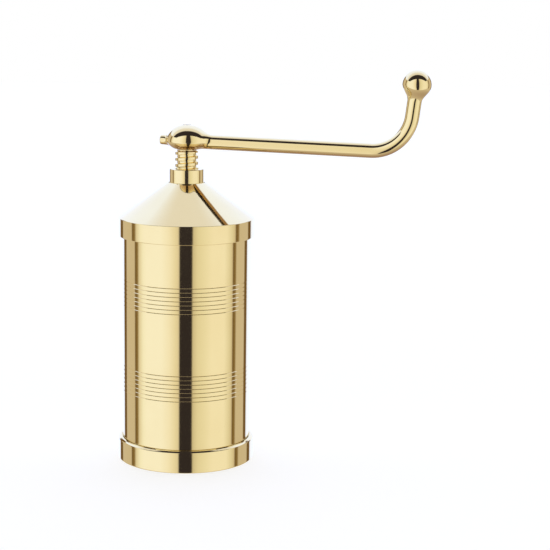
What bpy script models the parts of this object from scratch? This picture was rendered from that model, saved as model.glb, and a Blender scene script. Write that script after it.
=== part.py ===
"""Hand-cranked brass sev press.

A barrel stands on a screwed ring that holds a perforated die. A conical cap
screws on top and carries a threaded bush. The crank turns a spindle in that
bush, and the spindle drives a cupped piston down the barrel.

Every piece is turned round the press axis, which is the world's Z axis. Z is
zero on the underside of the die. Lengths are in millimetres times MM.
"""

from math import cos, pi, radians, sin, tan

import bmesh
import bpy
from mathutils import Matrix, Vector

MM = 0.001

# Clearances
GAP = 0.3 * MM
STOP_GAP = 0.4 * MM
COLLAR_GAP = 0.35 * MM
MERGE = 0.002 * MM
SINK = 0.2 * MM

# Facets round a turn
WIDE_STEPS = 36
NARROW_STEPS = 24
BALL_STEPS = 18
SCREW_STEPS = 12

# Barrel
BARREL_R = 32.0 * MM
BARREL_WALL = 3.0 * MM
BARREL_HEIGHT = 117.8 * MM
BARREL_CHAMFER = 0.4 * MM
NECK_STEP = 1.1 * MM
NECK_HEIGHT = 6.9 * MM

# Coarse thread of the cap and the ring
NECK_PITCH = 2.0 * MM
NECK_THREAD_DEPTH = 0.7 * MM
NECK_THREAD_BASE = 1.0 * MM
NECK_THREAD_CREST = 0.45 * MM
NECK_TURNS = 2.5
INNER_TURNS = 2.0

# Die
DIE_INSET = 0.1 * MM
DIE_THICKNESS = 1.6 * MM
HOLE_R = 1.2 * MM
HOLE_RINGS = 4
HOLES_IN_FIRST_RING = 6
HOLE_STEPS = 8

# Ring under the barrel
RING_OVERHANG = 2.2 * MM
RING_HEIGHT = 11.2 * MM
RING_LIP = 1.2 * MM
RING_LIP_WIDTH = 4.3 * MM
RING_CHAMFER = 0.5 * MM
RING_SHOULDER = 0.6 * MM
RING_SLOPE = 0.2 * MM
COLLAR_HEIGHT = 1.2 * MM

# Cap
CAP_OVERHANG = 1.8 * MM
CAP_RIM_HEIGHT = 9.1 * MM
CAP_CHAMFER = 0.4 * MM
CAP_ROOF = 1.1 * MM
CAP_WALL = 2.7 * MM
CAP_SEAT_WIDTH = 1.6 * MM
CONE_SLOPE = radians(35.6)

# Bush
BOSS_R = 8.65 * MM
BOSS_HEIGHT = 6.4 * MM
BOSS_CHAMFER = 0.4 * MM
FLANGE_R = 12.0 * MM
FLANGE_THICKNESS = 2.7 * MM
CAP_LAND = 2.5 * MM

# Spindle
SPINDLE_PITCH = 3.0 * MM
SPINDLE_CORE_R = 4.8 * MM
SPINDLE_THREAD_DEPTH = 1.05 * MM
SPINDLE_THREAD_BASE = 1.4 * MM
SPINDLE_THREAD_CREST = 0.9 * MM
SPINDLE_TOP_UNDERCUT = 0.8 * MM
SPINDLE_LOW_UNDERCUT = 5.0 * MM
EXPOSED_SCREW = 9.7 * MM
JOURNAL_R = 3.5 * MM
SQUARE = 6.0 * MM
SQUARE_HEIGHT = 9.6 * MM
TENON_R = 1.65 * MM
TAPPED_DEPTH = 9.0 * MM

# Crank
HUB_R = 9.0 * MM
HUB_FOOT_R = 5.4 * MM
HUB_HEIGHT = 12.2 * MM
HUB_WAIST = 3.8 * MM
DOME_FULLNESS = 2.0
TAPER_FULLNESS = 1.5
ARM_R = 3.6 * MM
ARM_HEIGHT = 4.0 * MM
ARM_REACH = 109.1 * MM
ARM_DROOP = radians(1.3)
BEND_R = 19.5 * MM
UPRIGHT_LEAN = radians(7.0)
BALL_R = 7.4 * MM
BALL_HEIGHT = 30.1 * MM
BALL_NECK = 8.0 * MM
BALL_STEP = 0.15 * MM
HUB_FLARE = 1.1
FLARE_LENGTH = 6.0 * MM
TUBE_TILT = radians(9)
STUB_REACH = 13.4 * MM
STUB_ROOT_R = 3.2 * MM
STUB_TIP_R = 2.3 * MM
REST_ANGLE = radians(-13.0)

# Piston and what holds it on the spindle
PISTON_PLATE = 3.0 * MM
PISTON_RIM_HEIGHT = 8.0 * MM
PISTON_RIM_WALL = 2.5 * MM
PISTON_BOSS_R = 8.4 * MM
PISTON_BOSS_HEIGHT = 13.0 * MM
PISTON_END_GAP = 0.5 * MM
WASHER_THICKNESS = 1.2 * MM
THRUST_WASHER_R = 7.5 * MM
KEEPER_WASHER_R = 6.6 * MM
SCREW_R = 1.7 * MM
SCREW_HEAD_R = 3.6 * MM
SCREW_HEAD_HEIGHT = 1.9 * MM
SCREW_LENGTH = 8.0 * MM
SLOT_WIDTH = 1.0 * MM
SLOT_DEPTH = 0.9 * MM

# Brass: its colour, and how rough it is polished or left from the lathe
BRASS = (0.91, 0.77, 0.42)
POLISHED = 0.06
WORKED = 0.2

# Radii that follow from the sizes above
BORE_R = BARREL_R - BARREL_WALL
NECK_R = BARREL_R - NECK_STEP
NECK_CREST_R = NECK_R + NECK_THREAD_DEPTH
COLLAR_R = BARREL_R + COLLAR_GAP
CAP_R = BARREL_R + CAP_OVERHANG
CAP_CREST_R = NECK_R + GAP
CAP_MAJOR_R = NECK_CREST_R + GAP
RING_R = BARREL_R + RING_OVERHANG
DIE_R = NECK_R - DIE_INSET
RING_MOUTH_R = DIE_R - RING_LIP_WIDTH
HOLE_RING_STEP = RING_MOUTH_R / (HOLE_RINGS + 0.9)
PISTON_R = BORE_R - GAP

# Levels that follow from the sizes above
FOOT_Z = -(RING_LIP + GAP)
RING_TOP_Z = FOOT_Z + RING_HEIGHT
BARREL_BOTTOM_Z = DIE_THICKNESS + GAP
BARREL_TOP_Z = BARREL_BOTTOM_Z + BARREL_HEIGHT
CAP_SEAT_Z = BARREL_TOP_Z + GAP
CAP_BASE_Z = CAP_SEAT_Z + CAP_ROOF
CAP_RIM_Z = CAP_BASE_Z - CAP_RIM_HEIGHT


def cone_z(r):
    """Height of the cap's outer cone at radius r."""
    return CAP_BASE_Z + (CAP_R - r) * tan(CONE_SLOPE)


BOSS_TOP_Z = cone_z(BOSS_R) + BOSS_HEIGHT
CAP_CEILING_R = FLANGE_R + GAP
CAP_CEILING_Z = cone_z(CAP_CEILING_R) - CAP_LAND
FLANGE_TOP_Z = CAP_CEILING_Z - GAP
BUSH_BOTTOM_Z = FLANGE_TOP_Z - FLANGE_THICKNESS
HUB_BOTTOM_Z = BOSS_TOP_Z + EXPOSED_SCREW
ARM_Z = HUB_BOTTOM_Z + ARM_HEIGHT
HUB_TOP_Z = HUB_BOTTOM_Z + HUB_HEIGHT
STROKE_DOWN = EXPOSED_SCREW - STOP_GAP
PISTON_Z = DIE_THICKNESS + PISTON_END_GAP + STROKE_DOWN
PISTON_BOSS_TOP_Z = PISTON_Z + PISTON_BOSS_HEIGHT
SHOULDER_Z = PISTON_BOSS_TOP_Z + WASHER_THICKNESS + 2 * GAP
RECESS_DEPTH = SCREW_HEAD_HEIGHT + WASHER_THICKNESS + 4 * GAP + PISTON_END_GAP
RECESS_Z = PISTON_Z + RECESS_DEPTH
JOURNAL_END_Z = RECESS_Z - GAP


def clear_scene():
    """Remove whatever the file holds."""
    for item in list(bpy.data.objects):
        bpy.data.objects.remove(item, do_unlink=True)


def new_collection(name):
    """Add a collection to the scene."""
    collection = bpy.data.collections.new(name)
    bpy.context.scene.collection.children.link(collection)
    return collection


clear_scene()
PARTS = new_collection("sev_press")
CUTTERS = new_collection("cutters")


def brass(name, colour, roughness):
    """A metal material of the given base colour."""
    material = bpy.data.materials.new(name)
    material.use_nodes = True
    shader = material.node_tree.nodes["Principled BSDF"]
    shader.inputs["Base Color"].default_value = (*colour, 1.0)
    shader.inputs["Metallic"].default_value = 1.0
    shader.inputs["Roughness"].default_value = roughness
    return material


def link_part(item, material):
    """Put a finished piece in the model's collection with its material."""
    PARTS.objects.link(item)
    item.data.materials.clear()
    item.data.materials.append(material)
    item.data.shade_smooth()
    item.data.set_sharp_from_angle(angle=radians(32))


def link_helper(item):
    """Put a shape that only cuts or joins another with the cutters."""
    CUTTERS.objects.link(item)
    item.hide_render = True
    item.display_type = "WIRE"


def profile_mesh(name, points, closed):
    """A line of (radius, height) points at +X, ready for a Screw modifier."""
    mesh = bpy.data.meshes.new(name)
    count = len(points)
    edges = [(i, i + 1) for i in range(count - 1)]
    if closed:
        edges.append((count - 1, 0))
    mesh.from_pydata([(r, 0.0, z) for r, z in points], edges, [])
    return mesh


def add_screw(item, turns, rise, steps):
    """Turn an object's profile about Z, rising by the given height."""
    screw = item.modifiers.new("turn", "SCREW")
    screw.axis = "Z"
    screw.angle = 2 * pi * turns
    screw.screw_offset = rise
    screw.steps = steps
    screw.render_steps = steps
    screw.use_merge_vertices = True
    screw.merge_threshold = MERGE
    screw.use_smooth_shade = True


def turned(name, points, steps, closed=True):
    """An object turned from a profile, which runs down its outer side."""
    item = bpy.data.objects.new(name, profile_mesh(name, points, closed))
    add_screw(item, 1, 0.0, steps)
    return item


def applied_mesh(item, name):
    """The mesh that an object's modifiers make, in its own space."""
    bpy.context.view_layer.update()
    graph = bpy.context.evaluated_depsgraph_get()
    return bpy.data.meshes.new_from_object(item.evaluated_get(graph))


def ridge(name, section, pitch, turns, start_z, steps):
    """A closed helical ridge of a (radius, height) section.

    It is turned by half a step, so that its corners miss those of the wall.
    """
    points = [(r, start_z + z) for r, z in section]
    item = bpy.data.objects.new(name, profile_mesh(name, points, True))
    add_screw(item, turns, pitch * turns, round(steps * turns))
    link_helper(item)
    mesh = applied_mesh(item, name)
    bpy.data.objects.remove(item, do_unlink=True)
    shape = bmesh.new()
    shape.from_mesh(mesh)
    bmesh.ops.holes_fill(shape, edges=shape.edges, sides=len(section))
    half_step = Matrix.Rotation(pi / steps, 4, "Z")
    bmesh.ops.transform(shape, matrix=half_step, verts=shape.verts)
    bmesh.ops.recalc_face_normals(shape, faces=shape.faces)
    shape.to_mesh(mesh)
    shape.free()
    closed_ridge = bpy.data.objects.new(name, mesh)
    link_helper(closed_ridge)
    return closed_ridge


def outer_section(core_r, depth, base, crest):
    """Section of a ridge that stands out from a core."""
    slope = (base - crest) / 2 / depth
    sunk = base / 2 + SINK * slope
    return [
        (core_r + depth, crest / 2),
        (core_r + depth, -crest / 2),
        (core_r - SINK, -sunk),
        (core_r - SINK, sunk),
    ]


def inner_section(major_r, depth, base, crest):
    """Section of a ridge that stands in from a bore."""
    slope = (base - crest) / 2 / depth
    sunk = base / 2 + SINK * slope
    return [
        (major_r + SINK, sunk),
        (major_r + SINK, -sunk),
        (major_r - depth, -crest / 2),
        (major_r - depth, crest / 2),
    ]


def combine(item, other, operation):
    """Join a helper to a piece or cut it away."""
    step = item.modifiers.new(other.name, "BOOLEAN")
    step.operation = operation
    step.solver = "EXACT"
    step.object = other


def cylinder(name, radius, low_z, high_z, steps):
    """A plain upright cylinder on the press axis."""
    shape = bmesh.new()
    middle = Matrix.Translation((0.0, 0.0, (low_z + high_z) / 2))
    bmesh.ops.create_cone(
        shape,
        cap_ends=True,
        segments=steps,
        radius1=radius,
        radius2=radius,
        depth=high_z - low_z,
        matrix=middle,
    )
    return object_from(name, shape)


def block(name, width, depth, low_z, high_z):
    """A plain block centred on the press axis."""
    shape = bmesh.new()
    middle = Matrix.Translation((0.0, 0.0, (low_z + high_z) / 2))
    size = Matrix.Diagonal((width, depth, high_z - low_z, 1.0))
    bmesh.ops.create_cube(shape, size=1.0, matrix=middle @ size)
    return object_from(name, shape)


def object_from(name, shape):
    """Turn a bmesh into an object."""
    mesh = bpy.data.meshes.new(name)
    shape.to_mesh(mesh)
    shape.free()
    return bpy.data.objects.new(name, mesh)


def neck_start(low_z):
    """Height at which the barrel's thread starts on a neck from low_z up."""
    spare = NECK_HEIGHT - NECK_TURNS * NECK_PITCH
    return low_z + spare / 2


def build_barrel():
    """The tube, with a threaded neck at each end."""
    upper_shoulder = BARREL_TOP_Z - NECK_HEIGHT
    lower_shoulder = BARREL_BOTTOM_Z + NECK_HEIGHT
    points = [
        (NECK_R - BARREL_CHAMFER, BARREL_TOP_Z),
        (NECK_R, BARREL_TOP_Z - BARREL_CHAMFER),
        (NECK_R, upper_shoulder),
        (BARREL_R - BARREL_CHAMFER, upper_shoulder),
        (BARREL_R, upper_shoulder - BARREL_CHAMFER),
        (BARREL_R, lower_shoulder + BARREL_CHAMFER),
        (BARREL_R - BARREL_CHAMFER, lower_shoulder),
        (NECK_R, lower_shoulder),
        (NECK_R, BARREL_BOTTOM_Z + BARREL_CHAMFER),
        (NECK_R - BARREL_CHAMFER, BARREL_BOTTOM_Z),
        (BORE_R, BARREL_BOTTOM_Z),
        (BORE_R, BARREL_TOP_Z),
    ]
    barrel = turned("barrel", points, WIDE_STEPS)
    section = outer_section(NECK_R, NECK_THREAD_DEPTH, NECK_THREAD_BASE, NECK_THREAD_CREST)
    for name, low_z in (("upper", upper_shoulder), ("lower", BARREL_BOTTOM_Z)):
        thread = ridge(
            f"barrel_{name}_thread",
            section,
            NECK_PITCH,
            NECK_TURNS,
            neck_start(low_z),
            WIDE_STEPS,
        )
        combine(barrel, thread, "UNION")
    link_part(barrel, brass("barrel_brass", BRASS, POLISHED))


def inner_neck_thread(name, start_z):
    """The thread inside the cap or the ring, half a pitch from the barrel's."""
    depth = CAP_MAJOR_R - CAP_CREST_R
    section = inner_section(CAP_MAJOR_R, depth, NECK_THREAD_BASE, NECK_THREAD_CREST)
    return ridge(name, section, NECK_PITCH, INNER_TURNS, start_z, WIDE_STEPS)


def build_top_cap():
    """The conical cap, hollow, with a threaded rim."""
    hole_r = BOSS_R + GAP
    rim_collar_z = BARREL_TOP_Z - NECK_HEIGHT + GAP
    seat_r = NECK_R - CAP_SEAT_WIDTH
    points = [
        (hole_r, cone_z(hole_r)),
        (CAP_R - CAP_CHAMFER, cone_z(CAP_R - CAP_CHAMFER)),
        (CAP_R, CAP_BASE_Z - CAP_CHAMFER),
        (CAP_R, CAP_RIM_Z + CAP_CHAMFER),
        (CAP_R - CAP_CHAMFER, CAP_RIM_Z),
        (COLLAR_R, CAP_RIM_Z),
        (COLLAR_R, rim_collar_z),
        (CAP_MAJOR_R, rim_collar_z),
        (CAP_MAJOR_R, CAP_SEAT_Z),
        (seat_r, CAP_SEAT_Z),
        (seat_r, cone_z(seat_r) - CAP_WALL),
        (CAP_CEILING_R, CAP_CEILING_Z),
        (hole_r, CAP_CEILING_Z),
    ]
    cap = turned("top_cap", points, WIDE_STEPS)
    start_z = neck_start(BARREL_TOP_Z - NECK_HEIGHT) + NECK_PITCH / 2
    combine(cap, inner_neck_thread("cap_thread", start_z), "UNION")
    link_part(cap, brass("cap_brass", BRASS, POLISHED))


def build_die_ring():
    """The screwed ring that holds the die and is the foot of the press."""
    collar_z = RING_TOP_Z - COLLAR_HEIGHT
    points = [
        (COLLAR_R, RING_TOP_Z),
        (RING_R - RING_CHAMFER, RING_TOP_Z - RING_SLOPE),
        (RING_R, RING_TOP_Z - RING_SHOULDER),
        (RING_R, FOOT_Z + RING_CHAMFER),
        (RING_R - RING_CHAMFER, FOOT_Z),
        (RING_MOUTH_R, FOOT_Z),
        (RING_MOUTH_R, FOOT_Z + RING_LIP),
        (CAP_MAJOR_R, FOOT_Z + RING_LIP),
        (CAP_MAJOR_R, collar_z),
        (COLLAR_R, collar_z),
    ]
    ring = turned("die_ring", points, WIDE_STEPS)
    start_z = neck_start(BARREL_BOTTOM_Z) + NECK_PITCH / 2
    combine(ring, inner_neck_thread("ring_thread", start_z), "UNION")
    link_part(ring, brass("ring_brass", BRASS, POLISHED))


def build_die_disc():
    """The flat die, with rings of holes round a solid centre."""
    die = cylinder("die_disc", DIE_R, 0.0, DIE_THICKNESS, WIDE_STEPS)
    holes = bmesh.new()
    for ring_number in range(1, HOLE_RINGS + 1):
        count = HOLES_IN_FIRST_RING * ring_number
        for i in range(count):
            angle = 2 * pi * i / count
            radius = HOLE_RING_STEP * ring_number
            centre = Vector((radius * cos(angle), radius * sin(angle), DIE_THICKNESS / 2))
            bmesh.ops.create_cone(
                holes,
                cap_ends=True,
                segments=HOLE_STEPS,
                radius1=HOLE_R,
                radius2=HOLE_R,
                depth=2 * DIE_THICKNESS,
                matrix=Matrix.Translation(centre),
            )
    cutter = object_from("die_holes", holes)
    link_helper(cutter)
    combine(die, cutter, "DIFFERENCE")
    link_part(die, brass("die_brass", BRASS, WORKED))


def build_screw_bush():
    """The threaded bush, with its boss above the cap and its flange below."""
    major_r = SPINDLE_CORE_R + SPINDLE_THREAD_DEPTH + GAP
    points = [
        (BOSS_R - BOSS_CHAMFER, BOSS_TOP_Z),
        (BOSS_R, BOSS_TOP_Z - BOSS_CHAMFER),
        (BOSS_R, FLANGE_TOP_Z),
        (FLANGE_R, FLANGE_TOP_Z),
        (FLANGE_R, BUSH_BOTTOM_Z),
        (major_r, BUSH_BOTTOM_Z),
        (major_r, BOSS_TOP_Z),
    ]
    bush = turned("screw_bush", points, NARROW_STEPS)
    depth = major_r - SPINDLE_CORE_R - GAP
    section = inner_section(major_r, depth, SPINDLE_THREAD_BASE, SPINDLE_THREAD_CREST)
    rest_shift = SPINDLE_PITCH * REST_ANGLE / (2 * pi)
    start_z = spindle_start() + SPINDLE_PITCH / 2 - rest_shift
    lowest = BUSH_BOTTOM_Z + SPINDLE_THREAD_BASE
    start_z += SPINDLE_PITCH * (1 + int((lowest - start_z) / SPINDLE_PITCH))
    turns = int((BOSS_TOP_Z - SPINDLE_THREAD_BASE - start_z) / SPINDLE_PITCH)
    thread = ridge("bush_thread", section, SPINDLE_PITCH, turns, start_z, SCREW_STEPS)
    combine(bush, thread, "UNION")
    link_part(bush, brass("bush_brass", BRASS, POLISHED))


def spindle_start():
    """Height of the middle of the spindle thread's lowest turn."""
    return SHOULDER_Z + SPINDLE_LOW_UNDERCUT


def threaded_rod(name, turns):
    """A rod with the spindle's thread over a little more than its length."""
    flank = (SPINDLE_THREAD_BASE - SPINDLE_THREAD_CREST) / 2
    crest_r = SPINDLE_CORE_R + SPINDLE_THREAD_DEPTH
    low_z = spindle_start() - SPINDLE_PITCH - SPINDLE_THREAD_BASE / 2
    points = [
        (SPINDLE_CORE_R, low_z + SPINDLE_PITCH),
        (SPINDLE_CORE_R, low_z + SPINDLE_THREAD_BASE),
        (crest_r, low_z + flank + SPINDLE_THREAD_CREST),
        (crest_r, low_z + flank),
        (SPINDLE_CORE_R, low_z),
    ]
    item = bpy.data.objects.new(name, profile_mesh(name, points, False))
    add_screw(item, turns, SPINDLE_PITCH * turns, SCREW_STEPS * turns)
    link_helper(item)
    mesh = applied_mesh(item, name)
    bpy.data.objects.remove(item, do_unlink=True)
    shape = bmesh.new()
    shape.from_mesh(mesh)
    bmesh.ops.remove_doubles(shape, verts=shape.verts, dist=MERGE)
    ends = bmesh.ops.holes_fill(shape, edges=shape.edges, sides=0)["faces"]
    bmesh.ops.poke(shape, faces=ends)
    bmesh.ops.recalc_face_normals(shape, faces=shape.faces)
    half_step = Matrix.Rotation(pi / SCREW_STEPS, 4, "Z")
    bmesh.ops.transform(shape, matrix=half_step, verts=shape.verts)
    shape.to_mesh(mesh)
    shape.free()
    return bpy.data.objects.new(name, mesh)


def build_spindle(parent):
    """The screw, with its square drive, tenon, journal and tapped end."""
    square_low_z = HUB_BOTTOM_Z - GAP
    square_top_z = HUB_BOTTOM_Z + SQUARE_HEIGHT
    thread_top_z = square_low_z - SPINDLE_TOP_UNDERCUT
    thread_low_z = spindle_start() - SPINDLE_PITCH / 2
    turns = int((thread_top_z - thread_low_z) / SPINDLE_PITCH) + 3
    spindle = threaded_rod("spindle", turns)
    spindle.parent = parent
    crest_r = SPINDLE_CORE_R + SPINDLE_THREAD_DEPTH
    trim = cylinder("spindle_trim", 2 * crest_r, thread_low_z, thread_top_z, SCREW_STEPS)
    tapped_r = SCREW_R + GAP
    foot_r = SPINDLE_CORE_R - SINK / 2
    foot_points = [
        (0.0, thread_low_z + SPINDLE_PITCH),
        (foot_r, thread_low_z + SPINDLE_PITCH),
        (foot_r, SHOULDER_Z),
        (JOURNAL_R, SHOULDER_Z),
        (JOURNAL_R, JOURNAL_END_Z),
        (tapped_r, JOURNAL_END_Z),
        (tapped_r, JOURNAL_END_Z + TAPPED_DEPTH),
        (0.0, JOURNAL_END_Z + TAPPED_DEPTH),
    ]
    foot = turned("spindle_foot", foot_points, SCREW_STEPS, closed=False)
    head_points = [
        (0.0, HUB_TOP_Z),
        (TENON_R, HUB_TOP_Z),
        (TENON_R, square_low_z),
        (foot_r, square_low_z),
        (foot_r, thread_top_z - SPINDLE_PITCH),
        (0.0, thread_top_z - SPINDLE_PITCH),
    ]
    head = turned("spindle_head", head_points, SCREW_STEPS, closed=False)
    square = block("spindle_square", SQUARE, SQUARE, square_low_z - GAP, square_top_z)
    for helper, operation in (
        (trim, "INTERSECT"),
        (foot, "UNION"),
        (head, "UNION"),
        (square, "UNION"),
    ):
        link_helper(helper)
        helper.parent = parent
        combine(spindle, helper, operation)
    link_part(spindle, brass("spindle_brass", BRASS, POLISHED))


def hub_profile():
    """Outline of the crank's hub, from the top of its dome to its foot."""
    waist_z = HUB_BOTTOM_Z + HUB_WAIST
    dome_height = HUB_HEIGHT - HUB_WAIST
    dome_power = 2 / DOME_FULLNESS
    taper_power = 2 / TAPER_FULLNESS
    dome_steps = 7
    taper_steps = 5
    points = [(0.0, HUB_TOP_Z)]
    for i in range(1, dome_steps + 1):
        angle = i * pi / 2 / dome_steps
        r = HUB_R * sin(angle) ** dome_power
        points.append((r, waist_z + dome_height * cos(angle) ** dome_power))
    for i in range(1, taper_steps):
        angle = i * pi / 2 / taper_steps
        r = HUB_FOOT_R + (HUB_R - HUB_FOOT_R) * cos(angle) ** taper_power
        points.append((r, waist_z - HUB_WAIST * sin(angle) ** taper_power))
    points.append((HUB_FOOT_R, HUB_BOTTOM_Z))
    points.append((0.0, HUB_BOTTOM_Z))
    return points


def ball_profile():
    """Outline of the ball and its neck, about the ball's centre."""
    upper_steps = 6
    lower_steps = 6
    points = [(0.0, BALL_R)]
    for i in range(1, upper_steps + 1):
        angle = i * pi / 2 / upper_steps
        points.append((BALL_R * sin(angle), BALL_R * cos(angle)))
    neck_r = ARM_R + BALL_STEP
    for i in range(1, lower_steps + 1):
        drop = i / lower_steps
        r = neck_r + (BALL_R - neck_r) * cos(drop * pi / 2) ** 2
        points.append((r, -BALL_NECK * drop))
    points.append((0.0, -BALL_NECK))
    return points


def arm_route():
    """Points of the arm's centre line and the factor of its radius at each."""
    outward = Vector((cos(ARM_DROOP), -sin(ARM_DROOP)))
    corner = Vector((ARM_REACH, ARM_Z - ARM_REACH * tan(ARM_DROOP)))
    turn = pi / 2 + ARM_DROOP - UPRIGHT_LEAN
    tangent = BEND_R * tan(turn / 2)
    bend_start = corner - outward * tangent
    inward = Vector((-outward.y, outward.x))
    centre = bend_start + inward * BEND_R
    hub_edge = Vector((HUB_R, ARM_Z - HUB_R * tan(ARM_DROOP)))
    route = [
        (Vector((0.0, ARM_Z)), HUB_FLARE),
        (hub_edge - outward * FLARE_LENGTH / 3, HUB_FLARE),
        (hub_edge + outward * FLARE_LENGTH / 3, (1 + HUB_FLARE) / 2),
        (hub_edge + outward * FLARE_LENGTH, 1.0),
    ]
    bend_steps = 9
    for i in range(bend_steps + 1):
        angle = turn * i / bend_steps
        spoke = outward * sin(angle) - inward * cos(angle)
        route.append((centre + spoke * BEND_R, 1.0))
    route.append((ball_centre(), 1.0))
    return route


def ball_centre():
    """Centre of the ball in the plane of the arm, as (reach, height)."""
    corner_z = ARM_Z - ARM_REACH * tan(ARM_DROOP)
    centre_z = ARM_Z + BALL_HEIGHT
    return Vector((ARM_REACH + (centre_z - corner_z) * tan(UPRIGHT_LEAN), centre_z))


def tube_along(name, route, radius, sides):
    """A round bar with closed ends along a route of (point, factor) pairs."""
    curve = bpy.data.curves.new(name, "CURVE")
    curve.dimensions = "3D"
    curve.bevel_depth = radius
    curve.bevel_resolution = sides
    curve.use_fill_caps = True
    spline = curve.splines.new("POLY")
    spline.points.add(len(route) - 1)
    for target, (place, factor) in zip(spline.points, route):
        target.co = (place.x, 0.0, place.y, 1.0)
        target.radius = factor
        target.tilt = TUBE_TILT
    bar = bpy.data.objects.new(f"{name}_curve", curve)
    link_helper(bar)
    mesh = applied_mesh(bar, name)
    bpy.data.objects.remove(bar, do_unlink=True)
    shape = bmesh.new()
    shape.from_mesh(mesh)
    bmesh.ops.remove_doubles(shape, verts=shape.verts, dist=MERGE)
    bmesh.ops.recalc_face_normals(shape, faces=shape.faces)
    shape.to_mesh(mesh)
    shape.free()
    return bpy.data.objects.new(name, mesh)


def build_crank_handle(parent):
    """The casting: hub, stub, arm, bend, upright and ball."""
    crank = turned("crank_handle", hub_profile(), NARROW_STEPS, closed=False)
    crank.parent = parent
    arm = tube_along("crank_arm", arm_route(), ARM_R, 3)
    tip = Vector((-STUB_REACH, ARM_Z + STUB_REACH * tan(ARM_DROOP)))
    stub_route = [
        (Vector((-HUB_FOOT_R, ARM_Z)), 1.0),
        (tip, STUB_TIP_R / STUB_ROOT_R),
    ]
    stub = tube_along("crank_stub", stub_route, STUB_ROOT_R, 3)
    ball = turned("crank_ball", ball_profile(), BALL_STEPS, closed=False)
    centre = ball_centre()
    ball.location = (centre.x, 0.0, centre.y)
    ball.rotation_euler.y = UPRIGHT_LEAN
    socket_width = SQUARE + 2 * GAP
    socket = block(
        "crank_socket",
        socket_width,
        socket_width,
        HUB_BOTTOM_Z - SINK,
        HUB_BOTTOM_Z + SQUARE_HEIGHT + GAP,
    )
    tenon_hole = cylinder(
        "crank_tenon_hole",
        TENON_R + GAP,
        HUB_BOTTOM_Z + SQUARE_HEIGHT,
        HUB_TOP_Z + SINK,
        SCREW_STEPS,
    )
    for helper, operation in (
        (arm, "UNION"),
        (stub, "UNION"),
        (ball, "UNION"),
        (socket, "DIFFERENCE"),
        (tenon_hole, "DIFFERENCE"),
    ):
        link_helper(helper)
        helper.parent = parent
        combine(crank, helper, operation)
    link_part(crank, brass("crank_brass", BRASS, POLISHED))


def build_piston_plate():
    """The cupped piston, with a boss for the journal and a recess below."""
    journal_hole_r = JOURNAL_R + GAP
    recess_r = KEEPER_WASHER_R + GAP
    plate_top_z = PISTON_Z + PISTON_PLATE
    rim_top_z = PISTON_Z + PISTON_RIM_HEIGHT
    points = [
        (PISTON_R, rim_top_z),
        (PISTON_R, PISTON_Z),
        (recess_r, PISTON_Z),
        (recess_r, RECESS_Z),
        (journal_hole_r, RECESS_Z),
        (journal_hole_r, PISTON_BOSS_TOP_Z),
        (PISTON_BOSS_R, PISTON_BOSS_TOP_Z),
        (PISTON_BOSS_R, plate_top_z),
        (PISTON_R - PISTON_RIM_WALL, plate_top_z),
        (PISTON_R - PISTON_RIM_WALL, rim_top_z),
    ]
    piston = turned("piston_plate", points, WIDE_STEPS)
    link_part(piston, brass("piston_brass", BRASS, WORKED))


def build_washer(name, hole_r, outer_r, low_z, parent):
    """A flat washer on the press axis."""
    high_z = low_z + WASHER_THICKNESS
    points = [
        (outer_r, high_z),
        (outer_r, low_z),
        (hole_r, low_z),
        (hole_r, high_z),
    ]
    washer = turned(name, points, NARROW_STEPS)
    washer.parent = parent
    link_part(washer, brass(f"{name}_brass", BRASS, WORKED))


def build_retaining_screw(parent):
    """The slotted screw in the spindle's end, head down."""
    head_top_z = JOURNAL_END_Z - WASHER_THICKNESS - 2 * GAP
    head_z = head_top_z - SCREW_HEAD_HEIGHT
    points = [
        (0.0, JOURNAL_END_Z + SCREW_LENGTH),
        (SCREW_R, JOURNAL_END_Z + SCREW_LENGTH),
        (SCREW_R, head_top_z),
        (SCREW_HEAD_R, head_top_z),
        (SCREW_HEAD_R, head_z),
        (0.0, head_z),
    ]
    screw = turned("retaining_screw", points, SCREW_STEPS, closed=False)
    screw.parent = parent
    slot = block(
        "screw_slot",
        SLOT_WIDTH,
        4 * SCREW_HEAD_R,
        head_z - SLOT_DEPTH,
        head_z + SLOT_DEPTH,
    )
    link_helper(slot)
    slot.parent = parent
    combine(screw, slot, "DIFFERENCE")
    link_part(screw, brass("retaining_screw_brass", BRASS, WORKED))


def build_crank_axis():
    """The empty that the turning pieces hang on, at the rest angle."""
    axis = bpy.data.objects.new("crank_axis", None)
    axis.rotation_euler.z = REST_ANGLE
    PARTS.objects.link(axis)
    return axis


def build_press():
    """Build every piece at rest."""
    build_barrel()
    build_top_cap()
    build_die_ring()
    build_die_disc()
    build_screw_bush()
    build_piston_plate()
    crank_axis = build_crank_axis()
    build_spindle(crank_axis)
    build_crank_handle(crank_axis)
    washer_hole_r = JOURNAL_R + GAP
    thrust_z = PISTON_BOSS_TOP_Z + GAP
    build_washer("thrust_washer", washer_hole_r, THRUST_WASHER_R, thrust_z, crank_axis)
    keeper_z = JOURNAL_END_Z - GAP - WASHER_THICKNESS
    build_washer("keeper_washer", SCREW_R + GAP, KEEPER_WASHER_R, keeper_z, crank_axis)
    build_retaining_screw(crank_axis)


build_press()
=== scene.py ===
"""A polished brass sev press on a pale floor, in soft studio light.

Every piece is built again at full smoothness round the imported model's own
places. Sizes here are in millimetres, and meshes are written in metres. The
press axis is the world's Z axis, and the photograph's viewer stands on -Y.
"""

import logging
from collections.abc import Sequence
from dataclasses import dataclass
from enum import Enum
from math import ceil, cos, pi, radians, sin, tan

import bmesh
import bpy
import numpy as np
from mathutils import Euler, Matrix, Vector


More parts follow.
